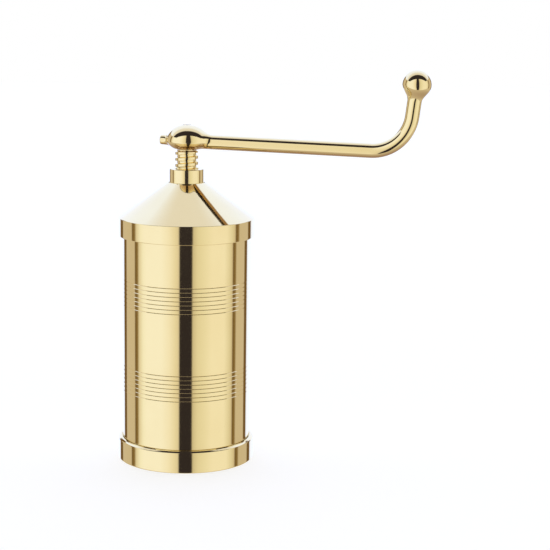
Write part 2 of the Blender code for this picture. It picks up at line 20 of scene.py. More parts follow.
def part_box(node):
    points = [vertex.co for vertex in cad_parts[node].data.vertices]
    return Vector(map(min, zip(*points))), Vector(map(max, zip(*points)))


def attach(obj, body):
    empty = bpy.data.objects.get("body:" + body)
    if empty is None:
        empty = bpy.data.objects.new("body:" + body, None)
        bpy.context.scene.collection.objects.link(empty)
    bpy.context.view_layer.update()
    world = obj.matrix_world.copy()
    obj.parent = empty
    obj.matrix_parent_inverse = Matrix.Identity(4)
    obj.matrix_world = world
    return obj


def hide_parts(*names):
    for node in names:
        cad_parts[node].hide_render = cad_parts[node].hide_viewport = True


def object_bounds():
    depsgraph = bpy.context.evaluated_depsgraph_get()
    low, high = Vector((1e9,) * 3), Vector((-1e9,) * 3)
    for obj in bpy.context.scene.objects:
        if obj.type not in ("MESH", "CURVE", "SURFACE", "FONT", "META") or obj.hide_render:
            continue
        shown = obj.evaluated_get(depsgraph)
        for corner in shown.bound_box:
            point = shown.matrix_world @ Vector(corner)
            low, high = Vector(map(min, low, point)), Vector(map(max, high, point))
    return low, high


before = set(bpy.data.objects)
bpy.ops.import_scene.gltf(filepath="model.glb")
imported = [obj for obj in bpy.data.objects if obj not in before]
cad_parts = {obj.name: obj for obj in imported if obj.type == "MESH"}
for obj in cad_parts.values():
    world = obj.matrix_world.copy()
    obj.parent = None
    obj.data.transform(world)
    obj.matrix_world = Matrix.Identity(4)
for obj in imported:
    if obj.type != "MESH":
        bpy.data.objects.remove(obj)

LOG = logging.getLogger("sev_press")
CAD_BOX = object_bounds()

# One millimetre, and the distance within which points are welded, in metres.
MM = 0.001
WELD = 0.000002

# The play between pieces that meet, and the points round wide and narrow ones.
GAP = 0.3
AROUND = 144
AROUND_SCREW = 64

# How far the crank is turned from +X at rest, and the screw that shows then.
REST_TURN = radians(-13.0)
EXPOSED_SCREW = 9.7

# The thread that the barrel's necks share with the cap and the ring.
NECK_PITCH = 2.0
NECK_DEPTH = 0.7
NECK_STEP = 1.1
NECK_HEIGHT = 6.9
NECK_LEAD_IN = 0.95
NECK_CREST = 0.3
NECK_BASE = 1.05
NECK_FADE = 0.7
COLLAR_STEP = 0.45

# The screw's pitch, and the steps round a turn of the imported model's threads.
SCREW_PITCH = 3.0
CAD_WIDE_STEPS = 36
CAD_SCREW_STEPS = 12

# How finely a turned corner is rounded, and how an engraved line is meshed.
STEPS_IN_QUARTER = 4
LEAST_STEPS = 3
SUPPORT_SHARE = 0.25
ROWS_IN_LINE = 5

Outline = list[tuple[float, float]]
Socket = bpy.types.NodeSocket
Feed = Socket | float | bool


class Surface(Enum):
    """How a brass surface was left."""

    TURNED = "turned on a lathe and polished"
    CAST = "cast and polished"
    WORKED = "turned and left from the tool"


@dataclass(frozen=True)
class BrassFinish:
    """A brass finish, with the marks that its making left in it, and painted shade where a casting
    faces down.

    Tints are linear colours, and lengths are in millimetres.
    """

    name: str
    surface: Surface
    tint: tuple[float, float, float] = (0.93, 0.80, 0.48)
    aged_tint: tuple[float, float, float] = (0.80, 0.60, 0.27)
    ageing: float = 0.12
    roughness: float = 0.045
    spread: float = 0.04
    ring_spacing: float = 0.35
    ring_height: float = 0.0004
    wave_size: float = 14.0
    wave_height: float = 0.004
    # Painted shade: the colour a cast surface takes where it faces down.
    painted_shade_tint: tuple[float, float, float] = (0.50, 0.34, 0.19)
    patch_size: float = 22.0
    scuff_size: float = 1.6
    patch_band: tuple[float, float] = (0.45, 0.75)
    mark_band: tuple[float, float] = (0.12, 0.45)
    # Levels of the normal's Z over which the painted shade comes in.
    painted_shade_band: tuple[float, float] = (-0.35, -0.85)

    def build(self) -> bpy.types.Material:
        """Build the finish as a node material.

        Returns:
            The material.
        """
        material = bpy.data.materials.new(self.name)
        material.use_nodes = True
        tree = material.node_tree
        shader = tree.nodes["Principled BSDF"]
        shader.inputs["Metallic"].default_value = 1.0
        place = tree.nodes.new("ShaderNodeTexCoord").outputs["Object"]
        rings = self._rings(tree, place)
        patches = self._noise(tree, place, 1 / (self.patch_size * MM), 3.0)
        scuffs = self._noise(tree, place, 1 / (self.scuff_size * MM), 6.0)
        self._tint(tree, shader, patches)
        self._gloss(tree, shader, rings, scuffs)
        self._relief(tree, shader, place, rings)
        return material

    def _noise(
        self,
        tree: bpy.types.NodeTree,
        vector: Socket,
        scale: float,
        detail: float,
    ) -> Socket:
        """Add a noise of the given scale per metre.

        Args:
            tree: The material's node tree.
            vector: What the noise is read along.
            scale: Cells in a metre.
            detail: Octaves.

        Returns:
            The noise's value.
        """
        noise = tree.nodes.new("ShaderNodeTexNoise")
        noise.inputs["Scale"].default_value = scale
        noise.inputs["Detail"].default_value = detail
        tree.links.new(vector, noise.inputs["Vector"])
        return noise.outputs["Fac"]

    def _rings(self, tree: bpy.types.NodeTree, place: Socket) -> Socket:
        """Add the fine rings round the press axis that turning leaves.

        Args:
            tree: The material's node tree.
            place: The surface point on the object.

        Returns:
            The rings' height from 0 to 1.
        """
        split = tree.nodes.new("ShaderNodeSeparateXYZ")
        tree.links.new(place, split.inputs["Vector"])
        flat = tree.nodes.new("ShaderNodeCombineXYZ")
        tree.links.new(split.outputs["X"], flat.inputs["X"])
        tree.links.new(split.outputs["Y"], flat.inputs["Y"])
        radius = tree.nodes.new("ShaderNodeVectorMath")
        radius.operation = "LENGTH"
        tree.links.new(flat.outputs["Vector"], radius.inputs[0])
        section = tree.nodes.new("ShaderNodeCombineXYZ")
        tree.links.new(radius.outputs["Value"], section.inputs["X"])
        tree.links.new(split.outputs["Z"], section.inputs["Y"])
        return self._noise(tree, section.outputs["Vector"], 1 / (self.ring_spacing * MM), 2.0)

    def _tint(self, tree: bpy.types.NodeTree, shader: bpy.types.Node, patches: Socket) -> None:
        """Let the brass darken a little in soft patches, and paint shade where a casting faces
        down.

        Args:
            tree: The material's node tree.
            shader: The Principled shader.
            patches: Where the brass has aged.
        """
        reach = tree.nodes.new("ShaderNodeMapRange")
        reach.inputs["From Min"].default_value = self.patch_band[0]
        reach.inputs["From Max"].default_value = self.patch_band[1]
        reach.inputs["To Max"].default_value = self.ageing
        tree.links.new(patches, reach.inputs["Value"])
        mix = tree.nodes.new("ShaderNodeMix")
        mix.data_type = "RGBA"
        mix.inputs["A"].default_value = (*self.tint, 1.0)
        mix.inputs["B"].default_value = (*self.aged_tint, 1.0)
        tree.links.new(reach.outputs["Result"], mix.inputs["Factor"])
        colour = mix.outputs["Result"]
        # A casting also gets painted shade where it faces down.
        if self.surface is Surface.CAST:
            colour = self._paint_shade_below(tree, colour)
        tree.links.new(colour, shader.inputs["Base Color"])

    def _paint_shade_below(self, tree: bpy.types.NodeTree, colour: Socket) -> Socket:
        """Paint shade into the casting's colour where it faces down.

        Args:
            tree: The material's node tree.
            colour: The brass's colour.

        Returns:
            The colour with painted shade where it faces down.
        """
        surface = tree.nodes.new("ShaderNodeNewGeometry")
        facing = tree.nodes.new("ShaderNodeSeparateXYZ")
        tree.links.new(surface.outputs["Normal"], facing.inputs["Vector"])
        # How far the surface faces down, which sets how much painted shade it gets.
        under = tree.nodes.new("ShaderNodeMapRange")
        under.interpolation_type = "SMOOTHSTEP"
        under.inputs["From Min"].default_value = self.painted_shade_band[0]
        under.inputs["From Max"].default_value = self.painted_shade_band[1]
        tree.links.new(facing.outputs["Z"], under.inputs["Value"])
        mix = tree.nodes.new("ShaderNodeMix")
        mix.data_type = "RGBA"
        tree.links.new(under.outputs["Result"], mix.inputs["Factor"])
        tree.links.new(colour, mix.inputs["A"])
        mix.inputs["B"].default_value = (*self.painted_shade_tint, 1.0)
        return mix.outputs["Result"]

    def _gloss(
        self,
        tree: bpy.types.NodeTree,
        shader: bpy.types.Node,
        rings: Socket,
        scuffs: Socket,
    ) -> None:
        """Vary the roughness with the rings and with fine scuffs.

        Args:
            tree: The material's node tree.
            shader: The Principled shader.
            rings: The rings' height.
            scuffs: The scuffs' strength.
        """
        marks = tree.nodes.new("ShaderNodeMath")
        marks.operation = "MULTIPLY"
        tree.links.new(rings, marks.inputs[0])
        tree.links.new(scuffs, marks.inputs[1])
        reach = tree.nodes.new("ShaderNodeMapRange")
        reach.inputs["From Min"].default_value = self.mark_band[0]
        reach.inputs["From Max"].default_value = self.mark_band[1]
        reach.inputs["To Min"].default_value = self.roughness
        reach.inputs["To Max"].default_value = self.roughness + self.spread
        tree.links.new(marks.outputs["Value"], reach.inputs["Value"])
        tree.links.new(reach.outputs["Result"], shader.inputs["Roughness"])

    def _relief(
        self,
        tree: bpy.types.NodeTree,
        shader: bpy.types.Node,
        place: Socket,
        rings: Socket,
    ) -> None:
        """Raise the rings, and let the surface wave as polishing leaves it.

        Args:
            tree: The material's node tree.
            shader: The Principled shader.
            place: The surface point on the object.
            rings: The rings' height.
        """
        waves = self._noise(tree, place, 1 / (self.wave_size * MM), 0.0)
        soft = tree.nodes.new("ShaderNodeBump")
        soft.inputs["Distance"].default_value = self.wave_height * MM
        tree.links.new(waves, soft.inputs["Height"])
        last = soft
        if self.surface is not Surface.CAST:
            fine = tree.nodes.new("ShaderNodeBump")
            fine.inputs["Distance"].default_value = self.ring_height * MM
            tree.links.new(rings, fine.inputs["Height"])
            tree.links.new(soft.outputs["Normal"], fine.inputs["Normal"])
            last = fine
        tree.links.new(last.outputs["Normal"], shader.inputs["Normal"])


@dataclass(frozen=True)
class Corner:
    """A corner of a turned outline, rounded by a radius."""

    r: float
    z: float
    round: float = 0.0


def rounded(corners: Sequence[Corner]) -> Outline:
    """Round an outline's corners, with a support point beside each round.

    Args:
        corners: The outline's corners in order, the first and last unrounded.

    Returns:
        The outline's points.
    """
    points: Outline = []
    for i, corner in enumerate(corners):
        if corner.round <= 0.0:
            points.append((corner.r, corner.z))
            continue
        here = Vector((corner.r, corner.z))
        back = (Vector((corners[i - 1].r, corners[i - 1].z)) - here).normalized()
        ahead = (Vector((corners[i + 1].r, corners[i + 1].z)) - here).normalized()
        half = back.angle(ahead) / 2
        reach = corner.round / tan(half)
        bisector = (back + ahead).normalized()
        centre = here + bisector * corner.round / sin(half)
        start = here + back * reach
        end = here + ahead * reach
        turn = (end - centre).angle_signed(start - centre)
        steps = max(LEAST_STEPS, ceil(STEPS_IN_QUARTER * abs(turn) / (pi / 2)))
        support = SUPPORT_SHARE * corner.round
        points.append(tuple(start + back * support))
        for k in range(steps + 1):
            spoke = Matrix.Rotation(turn * k / steps, 2) @ (start - centre)
            points.append(tuple(centre + spoke))
        points.append(tuple(end + ahead * support))
    return points


def turned(outline: Outline, steps: int = AROUND, square_from: float = -1.0) -> bmesh.types.BMesh:
    """Turn an open outline round the press axis.

    Args:
        outline: Points as (radius, height), in order.
        steps: Points round a turn.
        square_from: Where not negative, points of exactly this radius lie on a
            square of that half width instead of on a circle.

    Returns:
        The turned surface, in metres.
    """
    shape = bmesh.new()
    rows = []
    for r, z in outline:
        if r <= 0.0:
            rows.append([shape.verts.new((0.0, 0.0, z * MM))])
            continue
        row = []
        for i in range(steps):
            angle = 2 * pi * i / steps
            reach = r
            if square_from > 0.0 and abs(r - square_from) < 1e-6:
                reach = r / max(abs(cos(angle)), abs(sin(angle)))
            row.append(shape.verts.new((reach * cos(angle) * MM, reach * sin(angle) * MM, z * MM)))
        rows.append(row)
    for upper, lower in zip(rows, rows[1:]):
        for i in range(steps):
            j = (i + 1) % steps
            if len(upper) == 1:
                shape.faces.new((upper[0], lower[i], lower[j]))
            elif len(lower) == 1:
                shape.faces.new((upper[i], lower[0], upper[j]))
            else:
                shape.faces.new((upper[i], lower[i], lower[j], upper[j]))
    return shape


def welded(name: str, shapes: Sequence[bmesh.types.BMesh], turn: float = 0.0) -> bpy.types.Object:
    """Weld open surfaces into one closed piece.

    Args:
        name: The piece's name.
        shapes: The surfaces, which meet edge to edge. They are freed.
        turn: Angle by which the piece is turned about the press axis.

    Returns:
        The piece's object, at the origin.
    """
    whole = bmesh.new()
    for shape in shapes:
        part = bpy.data.meshes.new("part")
        shape.to_mesh(part)
        shape.free()
        whole.from_mesh(part)
        bpy.data.meshes.remove(part)
    bmesh.ops.remove_doubles(whole, verts=whole.verts, dist=WELD)
    bmesh.ops.dissolve_degenerate(whole, edges=whole.edges, dist=WELD)
    bmesh.ops.recalc_face_normals(whole, faces=whole.faces)
    bmesh.ops.transform(whole, matrix=Matrix.Rotation(turn, 4, "Z"), verts=whole.verts)
    loose = sum(1 for edge in whole.edges if len(edge.link_faces) != 2)
    LOG.info("%s: %d faces, %d open edges", name, len(whole.faces), loose)
    mesh = bpy.data.meshes.new(name)
    whole.to_mesh(mesh)
    whole.free()
    piece = bpy.data.objects.new(name, mesh)
    bpy.context.scene.collection.objects.link(piece)
    smooth(piece)
    return piece


def smooth(piece: bpy.types.Object, angle: float = radians(28)) -> None:
    """Shade a piece smooth, with its true edges kept sharp.

    Args:
        piece: The piece.
        angle: Edges that turn by more than this stay sharp.
    """
    piece.data.shade_smooth()
    piece.data.set_sharp_from_angle(angle=angle)


def cut(piece: bpy.types.Object, cutter: bpy.types.Object) -> None:
    """Cut one closed shape out of a piece, for good.

    Args:
        piece: The piece that is cut.
        cutter: The shape that is cut away. It is removed.
    """
    step = piece.modifiers.new("cut", "BOOLEAN")
    step.operation = "DIFFERENCE"
    step.solver = "EXACT"
    step.object = cutter
    bpy.context.view_layer.update()
    graph = bpy.context.evaluated_depsgraph_get()
    mesh = bpy.data.meshes.new_from_object(piece.evaluated_get(graph))
    piece.modifiers.remove(step)
    piece.data = mesh
    bpy.data.objects.remove(cutter, do_unlink=True)


def levels(node: str) -> tuple[float, float]:
    """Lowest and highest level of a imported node, in millimetres.

    Args:
        node: The node's name.

    Returns:
        The two levels.
    """
    low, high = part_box(node)
    return low.z / MM, high.z / MM


class NodeBuild:
    """A geometry node tree that makes a mesh, with named inputs."""

    def __init__(self, name: str) -> None:
        """Start an empty tree with a Geometry output.

        Args:
            name: The tree's name.
        """
        self.tree = bpy.data.node_groups.new(name, "GeometryNodeTree")
        self.tree.interface.new_socket(
            "Geometry", in_out="OUTPUT", socket_type="NodeSocketGeometry"
        )
        self.entry = self.tree.nodes.new("NodeGroupInput")
        self.exit = self.tree.nodes.new("NodeGroupOutput")
        self.sockets: dict[str, str] = {}

    def size(self, name: str, kind: str = "NodeSocketFloat") -> Socket:
        """Add a named input.

        Args:
            name: The input's name.
            kind: The socket's type.

        Returns:
            The socket that gives the input inside the tree.
        """
        item = self.tree.interface.new_socket(name, in_out="INPUT", socket_type=kind)
        self.sockets[name] = item.identifier
        return self.entry.outputs[name]

    def node(self, kind: str, **settings: object) -> bpy.types.Node:
        """Add a node and set its properties.

        Args:
            kind: The node's type.
            settings: Properties by name.

        Returns:
            The node.
        """
        item = self.tree.nodes.new(kind)
        for key, value in settings.items():
            setattr(item, key, value)
        return item

    def link(self, start: Feed, end: Socket) -> None:
        """Feed a socket from another, or set its value.

        Args:
            start: A socket or a plain value.
            end: The socket that is fed.
        """
        if isinstance(start, Socket):
            self.tree.links.new(start, end)
        else:
            end.default_value = start

    def math(self, operation: str, *values: Feed) -> Socket:
        """Add a Math node.

        Args:
            operation: What it does.
            values: Sockets or numbers.

        Returns:
            The result.
        """
        item = self.node("ShaderNodeMath", operation=operation)
        for socket, value in zip(item.inputs, values):
            self.link(value, socket)
        return item.outputs["Value"]

    def ease(self, value: Feed, low: Feed, high: Feed) -> Socket:
        """Ease from 0 at low to 1 at high.

        Args:
            value: What is eased.
            low: Where the result is 0.
            high: Where the result is 1.

        Returns:
            The eased value.
        """
        item = self.node("ShaderNodeMapRange", interpolation_type="SMOOTHSTEP")
        self.link(value, item.inputs["Value"])
        self.link(low, item.inputs["From Min"])
        self.link(high, item.inputs["From Max"])
        return item.outputs["Result"]

    def close(self, geometry: Socket, finish: Socket) -> None:
        """End the tree in Realize Instances and Set Material.

        Args:
            geometry: What the tree made.
            finish: The input that gives its material.
        """
        real = self.node("GeometryNodeRealizeInstances")
        self.link(geometry, real.inputs["Geometry"])
        dressed = self.node("GeometryNodeSetMaterial")
        self.link(real.outputs["Geometry"], dressed.inputs["Geometry"])
        self.link(finish, dressed.inputs["Material"])
        self.link(dressed.outputs["Geometry"], self.exit.inputs["Geometry"])

    def make(self, values: dict[str, object]) -> bmesh.types.BMesh:
        """Run the tree with its inputs set.

        Args:
            values: Inputs by name.

        Returns:
            The mesh that it makes.
        """
        mesh = bpy.data.meshes.new("seed")
        seed = bpy.data.objects.new("seed", mesh)
        bpy.context.scene.collection.objects.link(seed)
        step = seed.modifiers.new("grow", "NODES")
        step.node_group = self.tree
        for name, value in values.items():
            step[self.sockets[name]] = value
        bpy.context.view_layer.update()
        graph = bpy.context.evaluated_depsgraph_get()
        made = bpy.data.meshes.new_from_object(seed.evaluated_get(graph))
        shape = bmesh.new()
        shape.from_mesh(made)
        seed.modifiers.remove(step)
        bpy.data.objects.remove(seed, do_unlink=True)
        bpy.data.meshes.remove(made)
        return shape


def wall_grid(build: NodeBuild, steps: Feed, rows: Feed) -> tuple[Socket, Socket, Socket]:
    """Add a flat grid that is wrapped round the axis later.

    Args:
        build: The tree.
        steps: Cells round a turn.
        rows: Cells up the wall.

    Returns:
        The grid, the share of a turn at a point and the point's row.
    """
    grid = build.node("GeometryNodeMeshGrid")
    build.link(1.0, grid.inputs["Size X"])
    build.link(1.0, grid.inputs["Size Y"])
    build.link(build.math("ADD", steps, 1), grid.inputs["Vertices X"])
    build.link(build.math("ADD", rows, 1), grid.inputs["Vertices Y"])
    place = build.node("ShaderNodeSeparateXYZ")
    build.link(build.node("GeometryNodeInputPosition").outputs["Position"], place.inputs["Vector"])
    share = build.math("ADD", place.outputs["X"], 0.5)
    height = build.math("ADD", place.outputs["Y"], 0.5)
    row = build.math("ROUND", build.math("MULTIPLY", height, rows))
    return grid.outputs["Mesh"], share, row


def wrapped(build: NodeBuild, mesh: Socket, share: Feed, radius: Feed, z: Feed) -> Socket:
    """Wrap a flat grid round the axis and close its seam.

    Args:
        build: The tree.
        mesh: The grid.
        share: The share of a turn at a point.
        radius: The point's distance from the axis.
        z: The point's height.

    Returns:
        The wall.
    """
    angle = build.math("MULTIPLY", share, 2 * pi)
    place = build.node("ShaderNodeCombineXYZ")
    build.link(build.math("MULTIPLY", radius, build.math("COSINE", angle)), place.inputs["X"])
    build.link(build.math("MULTIPLY", radius, build.math("SINE", angle)), place.inputs["Y"])
    build.link(z, place.inputs["Z"])
    move = build.node("GeometryNodeSetPosition")
    build.link(mesh, move.inputs["Geometry"])
    build.link(place.outputs["Vector"], move.inputs["Position"])
    merge = build.node("GeometryNodeMergeByDistance")
    build.link(move.outputs["Geometry"], merge.inputs["Geometry"])
    build.link(WELD, merge.inputs["Distance"])
    return merge.outputs["Geometry"]


@dataclass(frozen=True)
class ScrewThread:
    """A thread on a round wall, sharp or soft, outside or inside."""

    wall: float
    depth: float
    pitch: float
    low: float
    high: float
    crest_at: float
    crest: float
    base: float
    fade: float
    steps: int = AROUND
    rows_in_pitch: int = 20

    @staticmethod
    def tree() -> NodeBuild:
        """Build the node tree that makes a threaded wall.

        Returns:
            The tree.
        """
        build = NodeBuild("threaded_wall")
        wall = build.size("Wall Radius")
        depth = build.size("Thread Depth")
        pitch = build.size("Pitch")
        low = build.size("Low End")
        high = build.size("High End")
        crest_at = build.size("Crest Height")
        crest = build.size("Half Crest")
        base = build.size("Half Base")
        fade = build.size("Fade")
        steps = build.size("Steps", "NodeSocketInt")
        rows_in_pitch = build.size("Rows In Pitch", "NodeSocketInt")
        finish = build.size("Finish", "NodeSocketMaterial")
        row_height = build.math("DIVIDE", pitch, rows_in_pitch)
        length = build.math("ADD", build.math("SUBTRACT", high, low), pitch)
        rows = build.math("CEIL", build.math("DIVIDE", length, row_height))
        mesh, share, row = wall_grid(build, steps, rows)
        start = build.math("SUBTRACT", low, pitch)
        along = build.math("ADD", start, build.math("MULTIPLY", row, row_height))
        rise = build.math("ADD", along, build.math("MULTIPLY", share, pitch))
        z = build.math("MINIMUM", build.math("MAXIMUM", rise, low), high)
        turns = build.math("DIVIDE", build.math("SUBTRACT", along, crest_at), pitch)
        nearest = build.math("SUBTRACT", turns, build.math("ROUND", turns))
        away = build.math("MULTIPLY", build.math("ABSOLUTE", nearest), pitch)
        form = build.ease(away, base, crest)
        low_fade = build.ease(build.math("SUBTRACT", z, low), 0.0, fade)
        high_fade = build.ease(build.math("SUBTRACT", high, z), 0.0, fade)
        ends = build.math("MULTIPLY", low_fade, high_fade)
        out = build.math("MULTIPLY", build.math("MULTIPLY", depth, form), ends)
        radius = build.math("ADD", wall, out)
        build.close(wrapped(build, mesh, share, radius, z), finish)
        return build

    def make(self, build: NodeBuild, finish: bpy.types.Material) -> bmesh.types.BMesh:
        """Make the threaded wall.

        Args:
            build: The tree from tree().
            finish: The wall's material.

        Returns:
            The wall, open at both ends.
        """
        values = {
            "Wall Radius": self.wall * MM,
            "Thread Depth": self.depth * MM,
            "Pitch": self.pitch * MM,
            "Low End": self.low * MM,
            "High End": self.high * MM,
            "Crest Height": self.crest_at * MM,
            "Half Crest": self.crest / 2 * MM,
            "Half Base": self.base / 2 * MM,
            "Fade": self.fade * MM,
            "Steps": self.steps,
            "Rows In Pitch": self.rows_in_pitch,
            "Finish": finish,
        }
        return build.make(values)


@dataclass(frozen=True)
class EngravedBand:
    """A band of fine V lines round a wall."""

    wall: float
    top: float
    spacing: float
    count: int
    width: float
    depth: float
    land: float = 0.08

    @property
    def ends(self) -> tuple[float, float]:
        """Levels of the band's upper and lower edge."""
        margin = self.width / 2 + self.land
        return self.top + margin, self.top - (self.count - 1) * self.spacing - margin

    @staticmethod
    def tree() -> NodeBuild:
        """Build the node tree that makes an engraved wall.

        Returns:
            The tree.
        """
        build = NodeBuild("engraved_wall")
        wall = build.size("Wall Radius")
        top = build.size("First Line")
        spacing = build.size("Line Spacing")
        count = build.size("Line Count", "NodeSocketInt")
        width = build.size("Half Width")
        depth = build.size("Line Depth")
        land = build.size("Land")
        steps = build.size("Steps", "NodeSocketInt")
        finish = build.size("Finish", "NodeSocketMaterial")
        rows = build.math("SUBTRACT", build.math("MULTIPLY", count, ROWS_IN_LINE), 1)
        mesh, share, row = wall_grid(build, steps, rows)
        line = build.math("FLOOR", build.math("DIVIDE", row, ROWS_IN_LINE))
        before = build.math("MULTIPLY", line, ROWS_IN_LINE)
        part = build.math("SUBTRACT", build.math("SUBTRACT", row, before), ROWS_IN_LINE // 2)
        side = build.math("SIGN", part)
        away = build.math("ABSOLUTE", part)
        on_edge = build.math("MINIMUM", away, 1)
        on_land = build.math("MAXIMUM", build.math("SUBTRACT", away, 1), 0)
        offset = build.math(
            "ADD", build.math("MULTIPLY", on_edge, width), build.math("MULTIPLY", on_land, land)
        )
        middle = build.math("SUBTRACT", top, build.math("MULTIPLY", line, spacing))
        z = build.math("SUBTRACT", middle, build.math("MULTIPLY", side, offset))
        sunk = build.math("MULTIPLY", build.math("SUBTRACT", 1, on_edge), depth)
        radius = build.math("SUBTRACT", wall, sunk)
        build.close(wrapped(build, mesh, share, radius, z), finish)
        return build

    def make(self, build: NodeBuild, finish: bpy.types.Material) -> bmesh.types.BMesh:
        """Make the engraved wall.

        Args:
            build: The tree from tree().
            finish: The wall's material.

        Returns:
            The wall, open at both ends.
        """
        values = {
            "Wall Radius": self.wall * MM,
            "First Line": self.top * MM,
            "Line Spacing": self.spacing * MM,
            "Line Count": self.count,
            "Half Width": self.width / 2 * MM,
            "Line Depth": self.depth * MM,
            "Land": self.land * MM,
            "Steps": AROUND,
            "Finish": finish,
        }
        return build.make(values)


@dataclass(frozen=True)
class PerforatedPlate:
    """A flat round plate with rings of holes."""

    radius: float
    low: float
    thickness: float
    hole: float
    ring_step: float
    rings: int
    first_count: int
    hole_steps: int = 24

    @staticmethod
    def tree() -> NodeBuild:
        """Build the node tree that makes a perforated plate.

        Returns:
            The tree.
        """
        build = NodeBuild("perforated_plate")
        radius = build.size("Plate Radius")
        low = build.size("Underside")
        thickness = build.size("Thickness")
        hole = build.size("Hole Radius")
        step = build.size("Ring Step")
        rings = build.size("Rings", "NodeSocketInt")
        first = build.size("First Count", "NodeSocketInt")
        steps = build.size("Steps", "NodeSocketInt")
        hole_steps = build.size("Hole Steps", "NodeSocketInt")
        finish = build.size("Finish", "NodeSocketMaterial")
        triangle = build.math("MULTIPLY", rings, build.math("ADD", rings, 1))
        total = build.math("MULTIPLY", first, build.math("DIVIDE", triangle, 2))
        points = build.node("GeometryNodePoints")
        build.link(total, points.inputs["Count"])
        index = build.node("GeometryNodeInputIndex").outputs["Index"]
        filled = build.math("DIVIDE", build.math("ADD", index, 0.5), first)
        root = build.math("SQRT", build.math("ADD", build.math("MULTIPLY", filled, 8), 1))
        ring = build.math("CEIL", build.math("DIVIDE", build.math("SUBTRACT", root, 1), 2))
        before = build.math("SUBTRACT", ring, 1)
        inner = build.math("DIVIDE", build.math("MULTIPLY", before, ring), 2)
        place = build.math("SUBTRACT", index, build.math("MULTIPLY", inner, first))
        share = build.math("DIVIDE", place, build.math("MULTIPLY", first, ring))
        angle = build.math("MULTIPLY", share, 2 * pi)
        reach = build.math("MULTIPLY", ring, step)
        centre = build.node("ShaderNodeCombineXYZ")
        build.link(build.math("MULTIPLY", reach, build.math("COSINE", angle)), centre.inputs["X"])
        build.link(build.math("MULTIPLY", reach, build.math("SINE", angle)), centre.inputs["Y"])
        build.link(centre.outputs["Vector"], points.inputs["Position"])
        small = build.node("GeometryNodeCurvePrimitiveCircle")
        build.link(hole_steps, small.inputs["Resolution"])
        build.link(hole, small.inputs["Radius"])
        copies = build.node("GeometryNodeInstanceOnPoints")
        build.link(points.outputs["Points"], copies.inputs["Points"])
        build.link(small.outputs["Curve"], copies.inputs["Instance"])
        loops = build.node("GeometryNodeRealizeInstances")
        build.link(copies.outputs["Instances"], loops.inputs["Geometry"])
        rim = build.node("GeometryNodeCurvePrimitiveCircle")
        build.link(steps, rim.inputs["Resolution"])
        build.link(radius, rim.inputs["Radius"])
        outlines = build.node("GeometryNodeJoinGeometry")
        build.link(rim.outputs["Curve"], outlines.inputs["Geometry"])
        build.link(loops.outputs["Geometry"], outlines.inputs["Geometry"])
        sheet = build.node("GeometryNodeFillCurve")
        build.link(outlines.outputs["Geometry"], sheet.inputs["Curve"])
        raised = build.node("GeometryNodeExtrudeMesh")
        build.link(sheet.outputs["Mesh"], raised.inputs["Mesh"])
        build.link(thickness, raised.inputs["Offset Scale"])
        build.link(False, raised.inputs["Individual"])
        under = build.node("GeometryNodeFlipFaces")
        build.link(sheet.outputs["Mesh"], under.inputs["Mesh"])
        both = build.node("GeometryNodeJoinGeometry")
        build.link(raised.outputs["Mesh"], both.inputs["Geometry"])
        build.link(under.outputs["Mesh"], both.inputs["Geometry"])
        lift = build.node("ShaderNodeCombineXYZ")
        build.link(low, lift.inputs["Z"])
        move = build.node("GeometryNodeSetPosition")
        build.link(both.outputs["Geometry"], move.inputs["Geometry"])
        build.link(lift.outputs["Vector"], move.inputs["Offset"])
        merge = build.node("GeometryNodeMergeByDistance")
        build.link(move.outputs["Geometry"], merge.inputs["Geometry"])
        build.link(WELD, merge.inputs["Distance"])
        build.close(merge.outputs["Geometry"], finish)
        return build

    def make(self, build: NodeBuild, finish: bpy.types.Material) -> bmesh.types.BMesh:
        """Make the plate.

        Args:
            build: The tree from tree().
            finish: The plate's material.

        Returns:
            The closed plate.
        """
        values = {
            "Plate Radius": self.radius * MM,
            "Underside": self.low * MM,
            "Thickness": self.thickness * MM,
            "Hole Radius": self.hole * MM,
            "Ring Step": self.ring_step * MM,
            "Rings": self.rings,
            "First Count": self.first_count,
            "Steps": AROUND,
            "Hole Steps": self.hole_steps,
            "Finish": finish,
        }
        return build.make(values)


@dataclass(frozen=True)
class Trees:
    """The geometry node trees that several pieces share."""

    thread: NodeBuild
    band: NodeBuild
    plate: NodeBuild


def neck_crest(low: float, turned_on: float = 0.0) -> float:
    """Level of a neck thread's crest at +X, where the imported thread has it.

    Args:
        low: The neck's lower end.
        turned_on: Turns past the barrel's own thread.

    Returns:
        The level.
    """
    return low + NECK_LEAD_IN + NECK_PITCH * (turned_on - 0.5 / CAD_WIDE_STEPS)


def neck_thread(
    wall: float, depth: float, low: float, high: float, crest_at: float
) -> ScrewThread:
    """Size the thread that the necks, the cap and the ring share.

    Args:
        wall: Radius of the wall that carries the thread.
        depth: The thread's depth, negative where it faces the axis.
        low: The threaded wall's lower end.
        high: The threaded wall's upper end.
        crest_at: Level of a crest at +X.

    Returns:
        The thread.
    """
    return ScrewThread(
        wall=wall,
        depth=depth,
        pitch=NECK_PITCH,
        low=low,
        high=high,
        crest_at=crest_at,
        crest=NECK_CREST,
        base=NECK_BASE,
        fade=NECK_FADE,
    )


def place_piece(piece: bpy.types.Object, node: str, body: str, finish: bpy.types.Material) -> None:
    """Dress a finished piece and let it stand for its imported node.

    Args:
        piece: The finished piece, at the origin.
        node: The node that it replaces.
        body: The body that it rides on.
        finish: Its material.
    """
    piece.data.materials.clear()
    piece.data.materials.append(finish)
    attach(piece, body)
    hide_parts(node)
    LOG.info("placed %s on %s with %s", piece.name, body, finish.name)


